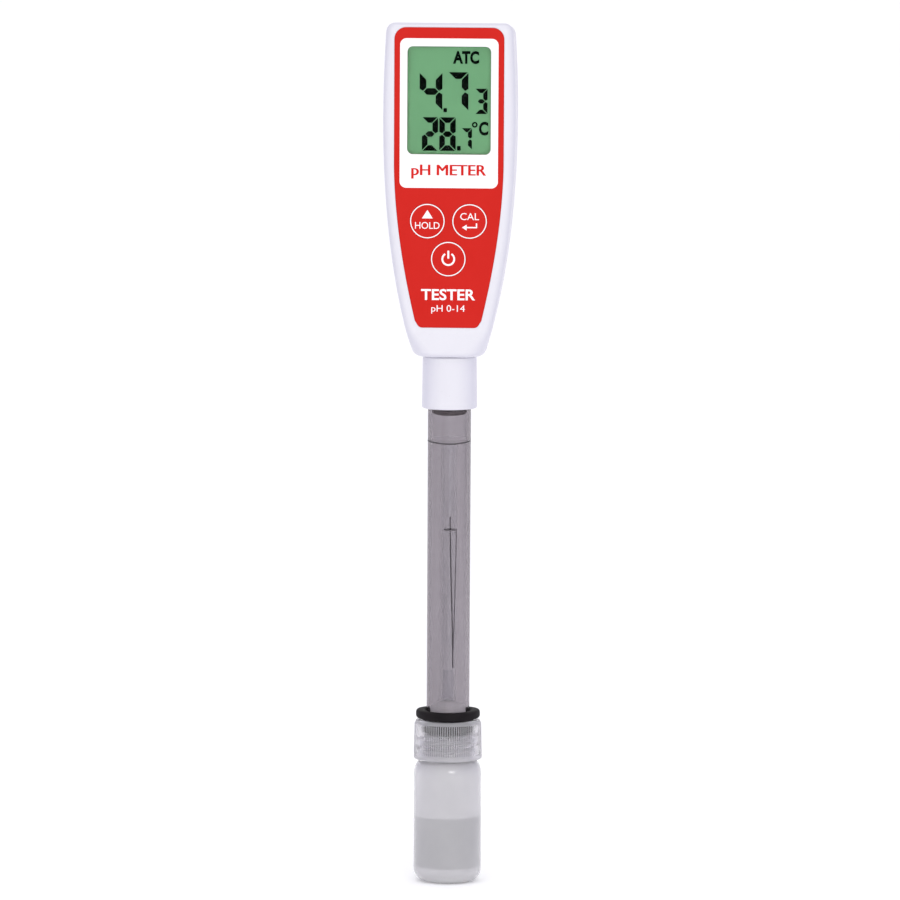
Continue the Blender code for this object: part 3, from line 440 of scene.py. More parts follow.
moulded("white_abs", (0.765, 0.757, 0.798), (0.752, 0.744, 0.785), (0.25, 0.33), (900, 0.03), IOR=1.35)
for red in ("red_film", "red_key"):
    moulded(red, (0.605, 0.02, 0.0145), (0.59, 0.018, 0.0125), (0.35, 0.42), (2500, 0.05), 90, IOR=1.15)
moulded("white_ink", (0.96, 0.96, 0.96), (0.94, 0.94, 0.94), (0.35, 0.42), (2500, 0.03), 120)
moulded("red_ink", (0.66, 0.02, 0.015), (0.62, 0.017, 0.012), (0.35, 0.42), (2500, 0.03), 120, IOR=1.15)
moulded(
    "display_ink", (0.004, 0.007, 0.005), (0.001, 0.003, 0.002), (0.3, 0.4), (2500, 0.02), 200,
    IOR=1.05
)
moulded("display", (0.185, 0.42, 0.21), (0.173, 0.397, 0.199), (0.25, 0.35), (3000, 0.04), 80, IOR=1.1)
moulded(
    "clear_pane", (0.99, 0.995, 0.99), (0.97, 0.98, 0.975), (0.02, 0.05), (1500, 0.01), 100,
    Transmission_Weight=1.0, IOR=1.06
)
moulded(
    "clear_plastic", (0.97, 0.96, 0.975), (0.92, 0.91, 0.925), (0.06, 0.1), (1200, 0.01), 150,
    Transmission_Weight=0.92, IOR=1.22
)
moulded(
    "smoky_plastic", (0.35, 0.322, 0.344), (0.265, 0.243, 0.261), (0.06, 0.1), (900, 0.02), 260, 0.03,
    Transmission_Weight=0.95, IOR=1.12
)
moulded(
    "tube_bore", (0.99, 0.985, 0.99), (0.96, 0.955, 0.965), (0.06, 0.1), (900, 0.02), 60,
    Transmission_Weight=1.0, IOR=1.12
)
moulded(
    "glass", (0.98, 0.985, 0.985), (0.95, 0.955, 0.96), (0.01, 0.04), (800, 0.01), 60,
    Transmission_Weight=1.0, IOR=1.1
)
moulded(
    "gel", (0.9, 0.905, 0.92), (0.86, 0.865, 0.885), (0.04, 0.08), (800, 0.01), 90,
    Transmission_Weight=1.0, IOR=1.05
)
moulded(
    "milky_plastic", (0.88, 0.872, 0.882), (0.84, 0.832, 0.846), (0.4, 0.48), (900, 0.05), 110,
    Transmission_Weight=0.6, IOR=1.25, Coat_Weight=1.0, Coat_Roughness=0.08, Coat_IOR=1.7
)
# pale bore finish above the liquid; on the floor and corner under the liquid the same finish is painted light
moulded(
    "dry_and_painted_pale_bore", (0.85, 0.84, 0.852), (0.81, 0.8, 0.815), (0.4, 0.48), (900, 0.05), 110,
    Transmission_Weight=0.35, IOR=1.1
)
moulded(
    "wet_bore", (0.13, 0.129, 0.135), (0.11, 0.109, 0.114), (0.2, 0.3), (900, 0.03), 110,
    Transmission_Weight=0.1, IOR=1.1
)
# painted light: the foot's gel glows faintly so that it reads pale, though it is no lamp
moulded(
    "glowing_foot_gel", (0.97, 0.965, 0.97), (0.94, 0.935, 0.945), (0.4, 0.5), (900, 0.03), 110,
    IOR=1.05, Emission_Color=(1.0, 0.98, 1.0, 1.0), Emission_Strength=0.2
)
moulded(
    "liquid", (0.2, 0.2, 0.206), (0.18, 0.18, 0.186), (0.1, 0.15), (500, 0.01), 60,
    Transmission_Weight=0.1, IOR=1.2
)
moulded(
    "black_rubber", (0.011, 0.009, 0.01), (0.006, 0.005, 0.006), (0.5, 0.7), (1800, 0.25), 200,
    IOR=1.2
)
moulded("black_plastic", (0.035, 0.035, 0.037), (0.022, 0.022, 0.024), (0.4, 0.55), (1500, 0.15))
moulded("grey_plastic", (0.33, 0.33, 0.345), (0.27, 0.27, 0.285), (0.45, 0.6), (1500, 0.1))
moulded("steel", (0.66, 0.66, 0.67), (0.52, 0.52, 0.54), (0.2, 0.34), (1400, 0.06), 400, Metallic=1.0)
moulded("gilt_brass", (0.86, 0.66, 0.3), (0.74, 0.54, 0.2), (0.2, 0.32), (1400, 0.04), 300, Metallic=1.0)
moulded("silver", (0.25, 0.24, 0.25), (0.17, 0.163, 0.17), (0.4, 0.55), (2600, 0.1), 700, Metallic=0.4)
moulded("second_wire", (0.3, 0.29, 0.3), (0.22, 0.21, 0.22), (0.35, 0.5), (2600, 0.1), 700)
moulded("board", (0.025, 0.2, 0.075), (0.015, 0.14, 0.05), (0.3, 0.42), (900, 0.1), 250)
moulded("cell_jacket", (0.045, 0.1, 0.27), (0.035, 0.08, 0.22), (0.25, 0.36), (900, 0.03), 200)
# painted light: a faint glow lifts the clear jacket, so that it shows as a pale line and not a dark one
moulded(
    "lead_jacket", (0.98, 0.98, 0.985), (0.94, 0.94, 0.95), (0.0, 0.03), (1500, 0.01), 200,
    Transmission_Weight=1.0, IOR=1.01, Emission_Color=(1.0, 1.0, 1.0, 1.0), Emission_Strength=0.035
)
moulded(
    "seal_pale", (1.0, 0.995, 1.0), (0.97, 0.965, 0.975), (0.4, 0.5), (1500, 0.05), 200,
    Transmission_Weight=1.0, IOR=1.02
)
moulded("plug_plastic", (0.3, 0.275, 0.265), (0.22, 0.2, 0.195), (0.4, 0.55), (1500, 0.15))
moulded("disc_plastic", (0.52, 0.5, 0.51), (0.44, 0.425, 0.435), (0.4, 0.5), (1500, 0.05), 300)
moulded("seal_mark", (0.07, 0.065, 0.07), (0.05, 0.046, 0.05), (0.4, 0.55), (1500, 0.1), 300)
moulded(
    "frosted_crest", (0.8, 0.79, 0.81), (0.73, 0.72, 0.74), (0.3, 0.42), (1200, 0.02), 150,
    Transmission_Weight=0.65, IOR=1.3
)
moulded(
    "floor", (0.97, 0.97, 0.97), (0.965, 0.965, 0.965), (0.8, 0.9), (40, 0.01), 2.0,
    Emission_Color=(1.0, 1.0, 1.0, 1.0), Emission_Strength=0.12
)


def paint_edge_shade(finish, shade):
    """Paints shade into the colour: multiplies the base colour by shade where the surface turns away from the
    viewer, a painted edge shade.
    """
    nodes, links = finish.node_tree.nodes, finish.node_tree.links
    shader = nodes["Principled BSDF"]
    before = shader.inputs["Base Color"].links[0].from_socket
    turned = add_node(nodes, "LayerWeight", Blend=0.5)
    ramp = color_ramp(nodes, (0.05, 0.45), ((1.0, 1.0, 1.0), shade))
    links.new(turned.outputs["Facing"], ramp.inputs["Fac"])
    mixed = add_node(nodes, "Mix")
    mixed.data_type = "RGBA"
    mixed.blend_type = "MULTIPLY"
    mixed.inputs["Factor"].default_value = 1.0
    links.new(before, mixed.inputs["A"])
    links.new(ramp.outputs["Color"], mixed.inputs["B"])
    links.new(mixed.outputs["Result"], shader.inputs["Base Color"])


# painted shade: the white plastic darkens towards the edges that turn from the viewer, in place of the dimmer
# light there
paint_edge_shade(FINISHES["white_abs"], (0.88, 0.88, 0.92))

SLOT_FINISH = {"red_label": "red_film"}  # the other slots have a finish of their own name


def dress_frame():
    """Every CAD node that stays visible gets the finish of its material slot."""
    for entry in frame["record"]["subparts"]:
        node, slot = frame["nodes"][entry["node"]], entry["material_slot"]
        node.data.materials.clear()
        node.data.materials.append(FINISHES[SLOT_FINISH.get(slot, slot)])


# ---- head ----

OUTLINE = ((9.64, 147.7), (18.9, 177.3), (19.3, 211.7), (17.55, 239.6))  # half width and height, in mm
WALL = 1.8 * MM
BOTTOM_WALL = 2.2 * MM
TOP_EDGE = 2.4 * MM
BOTTOM_EDGE = 1.8 * MM
FRONT_CORNER, FRONT_CORNER_LOW = 2.6 * MM, 6.0 * MM
BACK_WIDE, BACK_DEEP = 5.0 * MM, 7.0 * MM
FRONT_LOW_Y, FRONT_FLAT_Z = -9.6 * MM, 156.0 * MM
BACK_LOW_Y, BACK_FLAT_Z = 9.6 * MM, 186.0 * MM
TOP_SLOPE, SLOPE_REACH = 0.1, 9 * MM
GROOVE, HALF_SEAM = 0.22 * MM, 0.15 * MM
INNER_EDGE = 0.8 * MM
NECK_HOLE = 6.65 * MM
FAR = 60 * MM
UNDER_HEAD, OVER_HEAD = 0.1, 0.3
WELL_RADIUS, WELL_OUTER = 2.1 * MM, 2.6 * MM
WELL_FRONT, WELL_BACK = 4.7 * MM, 7.4 * MM
SCREWS = range(1, 5)


def bezier(controls, t):
    a, b, c, d = (Vector(point) for point in controls)
    return a * (1 - t) ** 3 + b * 3 * t * (1 - t) ** 2 + c * 3 * t * t * (1 - t) + d * t ** 3


def ease(value):
    value = min(max(value, 0.0), 1.0)
    return value * value * (3.0 - 2.0 * value)


def blended(first, second, share):
    return first + (second - first) * share


def outline_half_width(z):
    lower, upper = 0.0, 1.0
    for _ in range(30):
        middle = (lower + upper) / 2
        if bezier(OUTLINE, middle)[1] * MM < z:
            lower = middle
        else:
            upper = middle
    return bezier(OUTLINE, lower)[0] * MM


def edge_inset(z, bottom, top, bottom_edge, top_edge):
    if z < bottom + bottom_edge:
        reach, radius = bottom + bottom_edge - z, bottom_edge
    elif z > top - top_edge:
        reach, radius = z - (top - top_edge), top_edge
    else:
        return 0.0
    return radius - math.sqrt(max(radius * radius - reach * reach, 0.0))


def head_section(z, inset, steps, groove):
    """One level loop of (x, y) points, with a shallow groove at the seam where groove isn't 0."""
    half = outline_half_width(z) - inset
    upper = ease((z - HEAD_BOTTOM) / (FRONT_FLAT_Z - HEAD_BOTTOM))
    front = blended(FRONT_LOW_Y, FACE_Y, upper) + inset
    back = blended(BACK_LOW_Y, BACK_Y, ease((z - HEAD_BOTTOM) / (BACK_FLAT_Z - HEAD_BOTTOM))) - inset
    corner = max(blended(FRONT_CORNER_LOW, FRONT_CORNER, upper) - inset, 0.6 * MM)
    wide = max(BACK_WIDE - inset, 0.6 * MM)
    deep = max(BACK_DEEP - inset, 0.6 * MM)
    seam = []
    if groove:
        side = [(half, 0.5 * MM), (half - groove * 0.3, 0.3 * MM), (half - groove, HALF_SEAM)]
        seam = [(x, SEAM - y) for x, y in side] + [(x, SEAM + y) for x, y in reversed(side)]
    loop = seam + arc((half - wide, back - deep), (wide, deep), 0, 90, steps)
    loop += arc((wide - half, back - deep), (wide, deep), 90, 180, steps)
    loop += [(-x, y) for x, y in reversed(seam)]
    loop += arc((corner - half, front + corner), (corner, corner), 180, 270, steps)
    loop += arc((half - corner, front + corner), (corner, corner), 270, 360, steps)
    return loop


def sloped_top(place):
    share = ease((place[2] - (HEAD_TOP - SLOPE_REACH)) / SLOPE_REACH)
    return (place[0], place[1], place[2] - share * TOP_SLOPE * (place[1] - FACE_Y))


def head_body(inset, bottom, top, bottom_edge, top_edge, levels=44, steps=12, groove=0.0):
    quarter = [math.sin(math.radians(90 * step / 8)) for step in range(9)]
    first, last = bottom + bottom_edge, top - top_edge
    heights = [bottom + bottom_edge * (1 - share) for share in reversed(quarter)]
    heights += [first + (last - first) * step / levels for step in range(1, levels)]
    heights += [top - top_edge * (1 - share) for share in quarter]
    bm = bmesh.new()
    rings = []
    for z in heights:
        shrink = edge_inset(z, bottom, top, bottom_edge, top_edge)
        section = head_section(z, inset + shrink, steps, groove)
        rings.append([bm.verts.new(sloped_top((x, y, z))) for x, y in section])
    return loft(bm, rings)


def outer_head():
    return head_body(0.0, HEAD_BOTTOM, HEAD_TOP, BOTTOM_EDGE, TOP_EDGE, groove=GROOVE)


def inner_head():
    return head_body(WALL, HEAD_BOTTOM + BOTTOM_WALL, HEAD_TOP - WALL, INNER_EDGE, INNER_EDGE, 20, 6)


def neck_hole(radius):
    return rod(radius, HEAD_BOTTOM - 5 * MM, HEAD_BOTTOM + 5 * MM)


def overlay_outline(grow=0.0):
    curve = ((15.17, 203.0), (15.1, 188.0), (12.55, 172.0), (8.72, 156.6))
    corner = 3.2 * MM + grow
    half, top = OVERLAY_HALF + grow, OVERLAY_TOP + grow
    right = arc((half - corner, top - corner), (corner, corner), 90, 0, 12)
    for step in range(1, 24):
        place = bezier(curve, step / 24.0)
        right.append((place[0] * MM + grow, place[1] * MM))
    low_corner = 1.6 * MM + grow
    end = bezier(curve, 1.0)[0] * MM + grow
    middle = (end - low_corner, OVERLAY_BOTTOM - grow + low_corner)
    right += arc(middle, (low_corner, low_corner), -25, -90, 7)
    return right + [(-x, z) for x, z in reversed(right)]


def make_front_shell():
    shell = add_piece("front_casing", outer_head(), "meter", "white_abs", ["front_shell"])
    cut(shell, inner_head())
    cut(shell, box((-FAR, SEAM - HALF_SEAM, UNDER_HEAD), (FAR, FAR, OVER_HEAD)))
    cut(shell, plate(overlay_outline(0.05 * MM), FACE_Y - 2 * MM, OVERLAY_BACK + 0.3 * MM))
    front, back = FACE_Y - MM, FACE_Y + 4 * MM
    openings = [rod(KEY_RADIUS + 0.3 * MM, front, back, 64, place, "Y") for place in KEYS.values()]
    display = rounded_rectangle(27.0 * MM, 33.6 * MM, 0.8 * MM, (0.0, DISPLAY_Z), 4)
    cut(shell, together([plate(display, front, back), *openings]))
    cut(shell, neck_hole(NECK_HOLE))
    resharpen(shell)
    weigh_normals(shell)


def make_seam_lip():
    """The lip inside the seam that lines up the two shells and closes the slit between them."""
    thickness, reach = 0.8 * MM, 1.5 * MM
    low_inside, high_inside = HEAD_BOTTOM + BOTTOM_WALL + thickness, HEAD_TOP - WALL - thickness
    lip = add_piece("seam_lip", inner_head(), "meter", "white_abs")
    cut(lip, head_body(WALL + thickness, low_inside, high_inside, INNER_EDGE, INNER_EDGE, 20, 6))
    cut(lip, together([
        box((-FAR, -FAR, UNDER_HEAD), (FAR, SEAM - reach, OVER_HEAD)),
        box((-FAR, SEAM + reach, UNDER_HEAD), (FAR, FAR, OVER_HEAD)),
    ]))
    cut(lip, neck_hole(7.7 * MM))
    resharpen(lip)


def make_rear_shell():
    shell = add_piece("rear_casing", outer_head(), "meter", "white_abs", ["rear_shell"])
    cut(shell, inner_head())
    cut(shell, box((-FAR, -FAR, UNDER_HEAD), (FAR, SEAM + HALF_SEAM, OVER_HEAD)))
    half, gap = COVER_HIGH.x + 0.25 * MM, 0.3 * MM
    cut(shell, box((-half, COVER_LOW.y - gap, COVER_LOW.z - gap), (half, FAR, OVER_HEAD)))
    cut(shell, neck_hole(NECK_HOLE))
    places = [front_middle(f"shell_screw_{number}") for number in SCREWS]
    cut(shell, together([rod(WELL_RADIUS, WELL_FRONT, FAR, 40, place, "Y") for place in places]))
    resharpen(shell)
    weigh_normals(shell)


def make_screws():
    """The screws, and the tube walls they pass down, which are seen through the wells."""
    for number in SCREWS:
        node = f"shell_screw_{number}"
        place = front_middle(node)
        front, back = low(node).y, high(node).y
        wall = ring_profile(WELL_RADIUS, WELL_OUTER, WELL_FRONT, WELL_BACK)
        add_piece(f"screw_well_{number}", lathe(wall, 40, place, "Y"), "meter", "white_abs")
        shank, head, under_head = 1.0 * MM, 1.9 * MM, back - 1.5 * MM
        profile = [(0.0, front), (0.5 * MM, front), (shank, front + MM), (shank, under_head)]
        profile += [(head, under_head), (head, back - 0.5 * MM), (1.4 * MM, back), (0.0, back)]
        solid = lathe(rounded_profile(profile, 0.15 * MM), 40, place, "Y")
        screw = add_piece(f"case_screw_{number}", solid, "meter", "steel", [node])
        arm, reach, depth = 0.24 * MM, 1.0 * MM, back - 0.7 * MM
        x, z = place
        for wide, tall in ((reach, arm), (arm, reach)):
            cut(screw, box((x - wide, depth, z - tall), (x + wide, back + MM, z + tall)))
        resharpen(screw)


def make_cover():
    """The battery cover, with seven grip grooves and an arrow cut into it."""
    cover = add_piece("battery_door", outer_head(), "battery_cover", "white_abs", ["battery_cover"])
    cut(cover, box(COVER_LOW, (COVER_HIGH.x, FAR, OVER_HEAD)), "INTERSECT")
    long, half = 6.0 * MM, 0.25 * MM
    tools = []
    for step in range(7):
        z = COVER_LOW.z + (36.0 + 1.3 * step) * MM
        tools.append(box((-long, BACK_Y - 0.35 * MM, z - half), (long, BACK_Y + MM, z + half)))
    base, wide = COVER_LOW.z + 31.0 * MM, 2.2 * MM
    arrow = [(-wide, base), (wide, base), (0.0, base + 2.6 * MM)]
    tools.append(plate(arrow, BACK_Y - 0.3 * MM, BACK_Y + MM))
    cut(cover, together(tools))
    resharpen(cover)
    weigh_normals(cover)


# ---- face ----

SEGMENTS = {"2": "abged", "3": "abgcd", "4": "fgbc", "7": "abc", "8": "abcdefg"}


def digit(character, left, base, width, height, stroke):
    """The lit bars of a seven-bar numeral, as outlines in (x, z)."""
    gap = 0.1 * stroke
    middle = height / 2
    start, end = gap + stroke, width - gap - stroke
    bars = {
        "a": [(gap, height), (width - gap, height), (end, height - stroke), (start, height - stroke)],
        "d": [(start, stroke), (end, stroke), (width - gap, 0), (gap, 0)],
        "g": [
            (gap + stroke * 0.5, middle), (start, middle + stroke / 2), (end, middle + stroke / 2),
            (width - gap - stroke * 0.5, middle), (end, middle - stroke / 2), (start, middle - stroke / 2),
        ],
        "f": [
            (0, height - gap), (stroke, height - gap - stroke), (stroke, middle + stroke / 2 + gap),
            (stroke * 0.5, middle + gap), (0, middle + gap + stroke * 0.3),
        ],
    }
    bars["b"] = [(width - x, z) for x, z in bars["f"]]
    bars["e"] = [(x, height - z) for x, z in bars["f"]]
    bars["c"] = [(width - x, height - z) for x, z in bars["f"]]
    return [[(left + x, base + z) for x, z in bars[bar]] for bar in SEGMENTS[character]]


def make_display():
    """The display's glass with its lit bars, signs and letters. Places are in mm from its middle."""
    outline = rounded_rectangle(26.4 * MM, 33.0 * MM, 0.4 * MM, (0.0, DISPLAY_Z), 4)
    glass = plate(outline, LCD_FRONT, high("lcd_panel").y)
    add_piece("display_glass", glass, "meter", "display", ["lcd_panel"])
    shapes = []
    for character, left, base, width, height, stroke in (
        ("4", -8.2, -2.9, 6.3, 10.6, 1.85),
        ("7", -0.3, -2.9, 5.6, 10.7, 1.85),
        ("3", 7.15, -3.7, 3.45, 7.0, 1.2),
        ("2", -7.5, -14.0, 4.45, 9.3, 1.55),
        ("8", -2.7, -14.0, 4.55, 9.3, 1.55),
        ("7", 3.45, -13.65, 2.9, 6.0, 1.12),
    ):
        shapes += digit(character, left * MM, DISPLAY_Z + base * MM, width * MM, height * MM, stroke * MM)
    for left, base, width, height in ((-1.6, -3.3, 1.0, 1.15), (2.2, -13.9, 1.05, 1.3)):
        middle = ((left + width / 2) * MM, DISPLAY_Z + (base + height / 2) * MM)
        shapes.append(rounded_rectangle(width * MM, height * MM, 0.2 * MM, middle, 2))
    ink_y = LCD_FRONT - 0.04 * MM
    bars = together([plate(shape, ink_y, ink_y + PRINT) for shape in shapes])
    add_piece("display_digits", bars, "meter", "display", finish="display_ink")
    place = (7.1 * MM, DISPLAY_Z - 6.7 * MM)
    ring = plate(circle(0.8 * MM, place, 32), ink_y, ink_y + PRINT, [circle(0.36 * MM, place, 32)])
    add_piece("degree_sign", ring, "meter", "display", finish="display_ink")
    for name, words, tall, left, base, wide, weight in (
        ("display_c", "C", 3.85, 9.55, -7.75, 2.6, 0.04),
        ("display_atc", "ATC", 3.6, 4.6, 11.9, 7.25, 0.045),
    ):
        place = (left * MM, DISPLAY_Z + base * MM)
        lettering(name, words, tall * MM, place, ink_y, "display_ink", "meter", "display", wide * MM, weight)


def make_overlay():
    width, height, corner = 23.15 * MM, 29.9 * MM, 1.6 * MM
    window = rounded_rectangle(width, height, corner, (0.0, DISPLAY_Z))
    holes = [circle(KEY_RADIUS + 0.05 * MM, place, 96) for place in KEYS.values()]
    front = OVERLAY_FRONT + PRINT
    film = plate(overlay_outline(), front, OVERLAY_BACK, [window, *holes])
    film = add_piece("face_film", film, "meter", "red_label", ["face_overlay"], finish="red_film")
    soften(film, 0.06 * MM)
    panel = rounded_rectangle(27.2 * MM, 41.4 * MM, 1.8 * MM, (0.0, 216.1 * MM))
    surround = plate(panel, OVERLAY_FRONT, front, [window])
    add_piece("display_surround", surround, "meter", "red_label", finish="white_ink")
    outline = rounded_rectangle(width - 0.3 * MM, height - 0.3 * MM, corner - 0.15 * MM, (0.0, DISPLAY_Z))
    pane = plate(outline, OVERLAY_FRONT + 0.05 * MM, OVERLAY_BACK - 0.05 * MM)
    glass = add_piece("window_pane", pane, "meter", "clear_plastic", ["lcd_window"], finish="clear_pane")
    soften(glass, 0.05 * MM)
    for name, words, tall, z, y, ink, wide, weight, bold in (
        ("face_title", "pH METER", 3.9, 199.9, OVERLAY_FRONT, "red_ink", 20.5, 0.0, 0.13),
        ("face_name", "TESTER", 3.1, 165.8, front, "white_ink", 15.0, 0.02, 0.0),
        ("face_range", "pH 0-14", 2.4, 161.7, front, "white_ink", 9.3, 0.0, 0.0),
    ):
        lettering(name, words, tall * MM, (0.0, z * MM), y - PRINT, ink, "meter", "red_label",
                  wide * MM, weight, bold * MM)


def make_keys():
    """Each key is a disc with a printed ring and its own printed sign."""
    face = KEY_FRONT + PRINT
    ring_outer, ring_inner = KEY_RADIUS - 0.03 * MM, KEY_RADIUS - 0.3 * MM
    flange, flange_y = 5.55 * MM, FACE_Y + 2.1 * MM
    for name, (x, z) in KEYS.items():
        key = f"key_{name}"
        profile = [(0.0, face), (KEY_RADIUS - 0.12 * MM, face), (KEY_RADIUS - 0.04 * MM, face + 0.03 * MM)]
        profile += [(KEY_RADIUS, face + 0.12 * MM), (KEY_RADIUS, flange_y)]
        profile += [(flange, flange_y), (flange, KEY_BACK), (0.0, KEY_BACK)]
        disc = lathe(profile, 96, (x, z), "Y")
        add_piece(f"key_disc_{name}", disc, key, "red_label", [key], finish="red_key")
        ring = plate(circle(ring_outer, (x, z), 96), KEY_FRONT, face, [circle(ring_inner, (x, z), 96)])
        add_piece(f"key_ring_{name}", ring, key, "red_label", finish="white_ink")
    x, z = KEYS["hold"]
    triangle = [(x - 1.5 * MM, z + 0.75 * MM), (x + 1.5 * MM, z + 0.75 * MM), (x, z + 3.1 * MM)]
    add_piece("key_mark_hold", plate(triangle, KEY_FRONT, face), "key_hold", "red_label", finish="white_ink")
    for name, tall, lift, wide in (("hold", 1.9, -1.2, 6.8), ("cal", 1.95, 1.35, 5.2)):
        place = (KEYS[name][0], KEYS[name][1] + lift * MM)
        lettering(f"key_word_{name}", name.upper(), tall * MM, place, KEY_FRONT, "white_ink", f"key_{name}",
                  "red_label", wide * MM)
    x, z = KEYS["cal"]
    arrow = [
        (2.1, -0.5), (2.1, -1.87), (-0.8, -1.87), (-0.8, -2.5), (-2.1, -1.69), (-0.8, -0.88), (-0.8, -1.51),
        (1.74, -1.51), (1.74, -0.5),
    ]
    outline = [(x + a * MM, z + b * MM) for a, b in arrow]
    add_piece("key_mark_cal", plate(outline, KEY_FRONT, face), "key_cal", "red_label", finish="white_ink")
    x, z = KEYS["power"]
    outer = arc((x, z), (1.9 * MM, 1.9 * MM), 122, 418, 40)
    inner = arc((x, z), (1.4 * MM, 1.4 * MM), 418, 122, 40)
    bar = rounded_rectangle(0.52 * MM, 2.2 * MM, 0.1 * MM, (x, z + 1.25 * MM), 2)
    mark = together([plate(outer + inner, KEY_FRONT, face), plate(bar, KEY_FRONT, face)])
    add_piece("key_mark_power", mark, "key_power", "red_label", finish="white_ink")


# ---- probe ----

TUBE_RADIUS = 6.0 * MM
TUBE_BORE = 5.0 * MM
STEM_RADIUS, STEM_BORE = 2.2 * MM, 1.7 * MM


def make_probe():
    bottom, top = span("electrode_tube")
    wall = rounded_profile(ring_profile(TUBE_BORE, TUBE_RADIUS, bottom, top), 0.35 * MM)
    tube = add_piece("probe_tube", lathe(wall, 96), "electrode", "smoky_plastic", ["electrode_tube"])
    half, slot_top = 1.6 * MM, bottom + 8.0 * MM
    cut(tube, box((-FAR, -half, -FAR), (FAR, half, slot_top)))
    cut(tube, box((-half, -FAR, -FAR), (half, FAR, slot_top)))
    resharpen(tube)
    tube.data.materials.append(FINISHES["tube_bore"])
    for face in tube.data.polygons:
        outward = Vector((face.center.x, face.center.y, 0.0))
        if outward.dot(face.normal) < 0.0:
            face.material_index = 1
    stem = rounded_profile(ring_profile(STEM_BORE, STEM_RADIUS, *span("glass_stem")), 0.15 * MM)
    add_piece("inner_stem", lathe(stem, 64), "electrode", "glass", ["glass_stem"])
    make_bulb()
    make_wires()
    make_fill()
    make_seal()
    make_plug()
    ring = arc((5.7 * MM, front_middle("collar_oring")[1]), (0.42 * MM, 0.42 * MM), 0, 337.5, 15)
    add_piece("probe_oring", lathe(ring, 64), "electrode", "black_rubber", ["collar_oring"])
    bottom, top = span("connector_pin")
    radius = 0.8 * MM
    pin = [(0.0, bottom), (radius, bottom), (radius, top - 0.7 * MM), (0.4 * MM, top), (0.0, top)]
    solid = lathe(rounded_profile(pin, 0.2 * MM), 32)
    add_piece("probe_pin", solid, "electrode", "gilt_brass", ["connector_pin"])


def make_plug():
    """The plug whose domed lower end shows under the collar, with its flange and upper shank."""
    bottom, top = span("electrode_plug")
    radius, dome, shank = 4.88 * MM, 1.05 * MM, 3.4 * MM
    flange, flange_low, flange_high = 6.45 * MM, 135.2 * MM, 136.6 * MM
    profile = arc((0.0, bottom + dome), (radius, dome), -90, 0, 12)
    profile[0] = (0.0, bottom)
    profile += [(radius, flange_low), (flange, flange_low), (flange, flange_high)]
    profile += [(shank, flange_high), (shank, top), (0.0, top)]
    plug = lathe(profile, 64)
    add_piece("probe_plug", plug, "electrode", "black_plastic", ["electrode_plug"], finish="plug_plastic")


def make_seal():
    """A pale disc that closes the gel space, and the mark on the tube's front that shows its height."""
    bottom, top = span("seal_disc")
    radius, step = TUBE_BORE - 0.08 * MM, 0.25 * MM
    disc = [(0.0, bottom), (radius - step, bottom), (radius, bottom + step), (radius, top), (0.0, top)]
    add_piece("probe_seal", lathe(disc, 64), "electrode", "black_rubber", ["seal_disc"], finish="seal_pale")
    middle, lift, thickness = TUBE_RADIUS - 0.03 * MM, 0.5 * MM, 0.2 * MM
    front = arc((0.0, 0.0), (middle, middle), -168, -12, 40)
    path = [Vector((x, y, bottom + thickness + lift * (x / TUBE_RADIUS) ** 2)) for x, y in front]
    mark = round_wire(path, thickness)
    add_piece("seal_height_mark", mark, "electrode", "black_rubber", finish="seal_mark")


def make_bulb():
    middle, radius, wall = 17.0 * MM, 3.3 * MM, 0.4 * MM
    inner, neck_top = radius - wall, high("glass_bulb").z
    outside = arc((0.0, middle), (radius, radius), -90, math.degrees(math.acos(STEM_RADIUS / radius)), 20)
    inside = arc((0.0, middle), (inner, inner), math.degrees(math.acos(STEM_BORE / inner)), -90, 20)
    outside[0] = (0.0, outside[0][1])
    inside[-1] = (0.0, inside[-1][1])
    profile = outside + [(STEM_RADIUS, neck_top), (STEM_BORE, neck_top)] + inside
    add_piece("sensing_bulb", lathe(profile, 64), "electrode", "glass", ["glass_bulb"], 60)


def make_wires():
    """The two fine wires lean a little, as wires do that are held at their tops."""
    shares = [step / 24 for step in range(25)]
    bottom, top = span("silver_wire")
    path = []
    for share in shares:
        lean = blended(1.25 * MM, 0.35 * MM, ease(share))
        path.append(Vector((lean, 0.0, blended(bottom, top, share))))
    add_piece("main_wire", round_wire(path, 0.18 * MM), "electrode", "silver", ["silver_wire"])
    bottom, top = span("wire_disc")
    gap = 0.1 * MM
    disc = rounded_profile(ring_profile(0.42 * MM, 1.62 * MM, bottom + gap, top - gap), 0.1 * MM)
    solid = lathe(disc, 48, (0.15 * MM, 0.0))
    add_piece("wire_float", solid, "electrode", "grey_plastic", ["wire_disc"], finish="disc_plastic")
    bottom, top = span("reference_wire")
    path = []
    for share in shares:
        lean = blended(1.35 * MM, 2.15 * MM, share) + 0.1 * MM * math.sin(3.0 * share)
        path.append(Vector((lean, blended(-2.2 * MM, -1.7 * MM, share), blended(bottom, top, share))))
    wire = round_wire(path, 0.12 * MM)
    add_piece("second_wire", wire, "electrode", "silver", ["reference_wire"], finish="second_wire")


